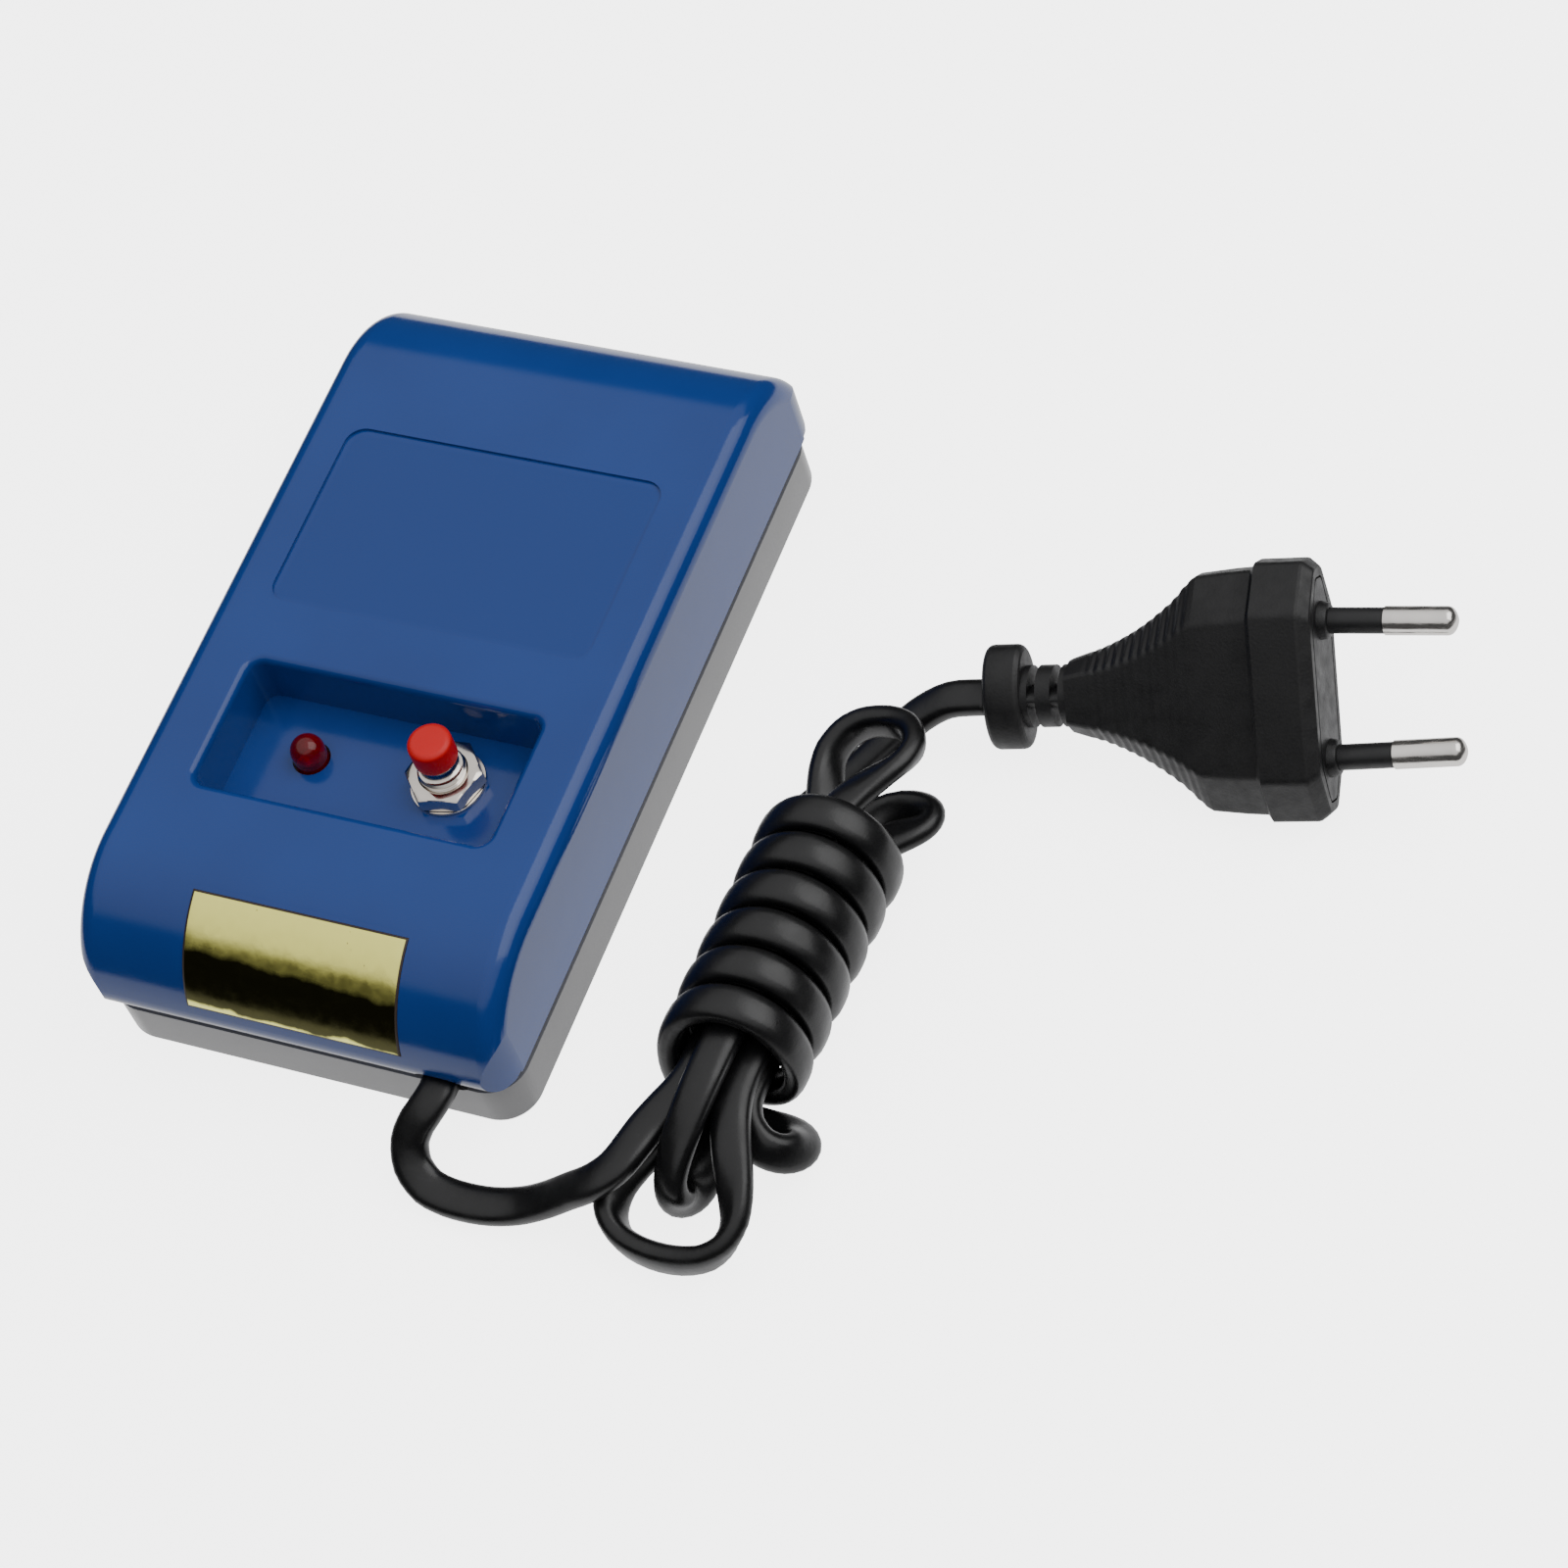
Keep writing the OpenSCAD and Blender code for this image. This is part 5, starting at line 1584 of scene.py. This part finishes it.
def finish_switch():
    """Metal of the contacts and leads, and the switch's black body."""
    finish_nodes(machined("tinned_wire", (0.66, 0.66, 0.64), 0.28), "led_leads", "coil_terminals")
    finish_nodes(machined("contact_brass", (0.72, 0.5, 0.2), 0.24), "switch_terminals")
    finish_nodes(machined("contact_copper", (0.7, 0.36, 0.2), 0.24), "switch_contact")
    finish_nodes(moulded("phenolic_black", (0.014, 0.012, 0.011), 0.4, grain=0.00003), "switch_body")


def finish_coil(inside):
    """The core's steel, and the coil's bobbin, rows of copper wire and tape."""
    finish_nodes(machined("core_steel", inside.core, 0.42), "core_laminations")
    finish_nodes(moulded("bobbin_cream", inside.bobbin, 0.38), "coil_bobbin")
    finish_nodes(machined("coil_copper", inside.copper, 0.3, pitch=0.00035), "coil_winding")
    finish_nodes(moulded("tape_yellow", inside.tape, 0.28, spread=0.12), "coil_tape")


def finish_board(inside):
    """The lamp's board, and the painted bands of its resistor and diode."""
    finish_nodes(moulded("board_green", inside.board, 0.3, spread=0.2), "led_board")
    x, pitch = middle_of("led_resistor")[0], 0.0012
    tints = ((0.3, 0.05, 0.02), (0.01, 0.01, 0.01), (0.5, 0.2, 0.01), (0.5, 0.36, 0.08))
    bands = [(x + pitch * (i - 1.5), tint) for i, tint in enumerate(tints)]
    finish_nodes(banded("resistor_tan", (0.52, 0.38, 0.2), bands, 0.35, 0.0006), "led_resistor")
    cathode = [(middle_of("led_diode")[0] + 0.0017, (0.6, 0.6, 0.6))]
    finish_nodes(banded("diode_black", (0.012, 0.012, 0.012), cathode, 0.3, 0.0008), "led_diode")


class DEMAGNETIZER_OT_inside(bpy.types.Operator):
    """Build the inner wires and spring, and finish the coil, core, board and switch"""

    bl_idname = "demagnetizer.inside"
    bl_label = "Inner parts"

    def execute(self, context):
        inside = context.scene.demagnetizer_inside
        add_wires(inside)
        add_inner_cord(context.scene.demagnetizer_cord)
        add_spring(inside)
        finish_switch()
        finish_coil(inside)
        finish_board(inside)
        return {"FINISHED"}


# Stage


class StageSettings(bpy.types.PropertyGroup):
    """Camera, floor and light of the photograph."""

    azimuth: FloatProperty(
        name="Azimuth", description="Camera's turn round the object",
        default=radians(38.2409), subtype="ANGLE",
    )
    elevation: FloatProperty(
        name="Elevation", description="Camera's height over the table",
        default=radians(54.5023), subtype="ANGLE",
    )
    roll: FloatProperty(name="Roll", description="Camera's roll", default=radians(-20.8269), subtype="ANGLE")
    distance: FloatProperty(
        name="Distance", description="Camera's distance along its axis", default=0.6723369, unit="LENGTH"
    )
    aim: FloatVectorProperty(
        name="Aim", description="Middle of the picture, right and up from the origin",
        default=(0.0441638, -0.0064205), size=2, unit="LENGTH",
    )
    lens: FloatProperty(
        name="Lens", description="Focal length for a frame 36 mm wide", default=106.115, unit="CAMERA"
    )
    sky: FloatProperty(name="Sky", description="Brightness of the soft light overhead", default=1.1)
    room: FloatProperty(name="Room", description="Brightness of the room at eye level", default=0.07)
    table: FloatProperty(name="Table", description="Brightness that glossy faces see below", default=1.35)
    glow: FloatProperty(name="Glow", description="Light of the pale floor itself", default=4.0)
    key_power: FloatProperty(
        name="Key light", description="Power of the soft key light", default=7.0, unit="POWER"
    )
    key_size: FloatProperty(
        name="Key size", description="Side of the soft key light", default=1.1, unit="LENGTH"
    )


def add_camera(stage):
    """The photograph's camera, which looks past the origin with a roll."""
    a, e, r = stage.azimuth, stage.elevation, stage.roll
    back = Vector((sin(a) * cos(e), -cos(a) * cos(e), sin(e)))
    level = Vector((cos(a), sin(a), 0))
    lift = back.cross(level)
    right = cos(r) * level + sin(r) * lift
    up = -sin(r) * level + cos(r) * lift
    data = bpy.data.cameras.new("camera")
    data.sensor_fit = "HORIZONTAL"
    data.sensor_width = 36
    data.lens = stage.lens
    data.clip_start = 0.01
    camera = bpy.data.objects.new("camera", data)
    place = right * stage.aim[0] + up * stage.aim[1] + back * stage.distance
    camera.matrix_world = Matrix.Translation(place) @ Matrix((right, up, back)).transposed().to_4x4()
    bpy.context.collection.objects.link(camera)
    bpy.context.scene.camera = camera


def floor_finish(stage):
    """Pale floor that glows, so that it comes out nearly white."""
    finish = Finish("floor", IOR=1.3, Roughness=0.9, Emission_Color=(1, 1, 1, 1))
    finish.shader.inputs["Emission Strength"].default_value = stage.glow
    finish.paint(finish.mix(finish.noise(3, detail=2), (0.86, 0.86, 0.86), (0.88, 0.88, 0.88)))
    return finish.material


def add_floor(stage):
    """The floor that the object stands on, which neither lights it nor shows in it."""
    half = 4.0
    mesh = bpy.data.meshes.new("floor")
    corners = [(-half, -half, 0), (half, -half, 0), (half, half, 0), (-half, half, 0)]
    mesh.from_pydata(corners, [], [(0, 1, 2, 3)])
    mesh.materials.append(floor_finish(stage))
    floor = bpy.data.objects.new("floor", mesh)
    floor.visible_glossy = False
    floor.visible_diffuse = False
    bpy.context.collection.objects.link(floor)


def studio_world(stage):
    """Soft light overhead, a darker room at eye level, and the pale table below."""
    world = bpy.data.worlds.new("studio")
    world.use_nodes = True
    nodes, links = world.node_tree.nodes, world.node_tree.links
    height = nodes.new("ShaderNodeSeparateXYZ")
    links.new(nodes.new("ShaderNodeTexCoord").outputs["Generated"], height.inputs[0])
    share = nodes.new("ShaderNodeMapRange")
    links.new(height.outputs["Z"], share.inputs["Value"])
    share.inputs["From Min"].default_value = -1
    ramp = nodes.new("ShaderNodeValToRGB")
    links.new(share.outputs["Result"], ramp.inputs["Fac"])
    stops = (
        (0, stage.table), (0.33, stage.table), (0.36, stage.room), (0.74, stage.room),
        (0.79, stage.sky * 0.75), (1, stage.sky),
    )
    points = ramp.color_ramp.elements
    while len(points) < len(stops):
        points.new(0.5)
    for point, (place, value) in zip(points, stops):
        point.position = place
        point.color = (value, value, value * 1.01, 1)
    links.new(ramp.outputs["Color"], nodes["Background"].inputs["Color"])
    return world


def add_key_light(stage):
    """A soft square light from the right and behind."""
    spot, target = Vector((0.75, 0.35, 0.85)), Vector((0.05, 0, 0))
    light = bpy.data.lights.new("key", "AREA")
    light.energy = stage.key_power
    light.shape = "SQUARE"
    light.size = stage.key_size
    key = bpy.data.objects.new("key", light)
    facing = (spot - target).to_track_quat("Z", "Y").to_matrix().to_4x4()
    key.matrix_world = Matrix.Translation(spot) @ facing
    bpy.context.collection.objects.link(key)


class DEMAGNETIZER_OT_stage(bpy.types.Operator):
    """Set up the camera, the pale floor and the soft light"""

    bl_idname = "demagnetizer.stage"
    bl_label = "Stage"

    def execute(self, context):
        stage = context.scene.demagnetizer_stage
        add_camera(stage)
        add_floor(stage)
        context.scene.world = studio_world(stage)
        add_key_light(stage)
        return {"FINISHED"}


# Panel and registration

# Each step's operator and settings, in the order in which main runs them
STEPS = {
    "stage": (DEMAGNETIZER_OT_stage, StageSettings),
    "plug": (DEMAGNETIZER_OT_plug, PlugSettings),
    "cord": (DEMAGNETIZER_OT_cord, CordSettings),
    "case": (DEMAGNETIZER_OT_case, CaseSettings),
    "foil": (DEMAGNETIZER_OT_foil, FoilSettings),
    "button": (DEMAGNETIZER_OT_button, ButtonSettings),
    "lamp": (DEMAGNETIZER_OT_lamp, LampSettings),
    "inside": (DEMAGNETIZER_OT_inside, InsideSettings),
}


class DEMAGNETIZER_PT_panel(bpy.types.Panel):
    """Steps of the watch demagnetizer, each with its settings"""

    bl_idname = "DEMAGNETIZER_PT_panel"
    bl_label = "Watch demagnetizer"
    bl_space_type = "VIEW_3D"
    bl_region_type = "UI"
    bl_category = "Demagnetizer"

    def draw(self, context):
        """Lists each step's operator and, under it, its settings."""
        for step, (operator, group) in STEPS.items():
            column = self.layout.box().column()
            column.operator(operator.bl_idname)
            settings = getattr(context.scene, "demagnetizer_" + step)
            for key in group.__annotations__:
                column.prop(settings, key)


def register():
    """Adds the settings, operators and panel to Blender."""
    for step, (operator, group) in STEPS.items():
        bpy.utils.register_class(group)
        bpy.utils.register_class(operator)
        setattr(bpy.types.Scene, "demagnetizer_" + step, PointerProperty(type=group))
    bpy.utils.register_class(DEMAGNETIZER_PT_panel)


def unregister():
    """Takes them out again."""
    bpy.utils.unregister_class(DEMAGNETIZER_PT_panel)
    for step, (operator, group) in reversed(STEPS.items()):
        delattr(bpy.types.Scene, "demagnetizer_" + step)
        bpy.utils.unregister_class(operator)
        bpy.utils.unregister_class(group)


def main():
    """Runs every step."""
    register()
    for step in STEPS:
        getattr(bpy.ops.demagnetizer, step)()


if __name__ == "__main__":
    main()
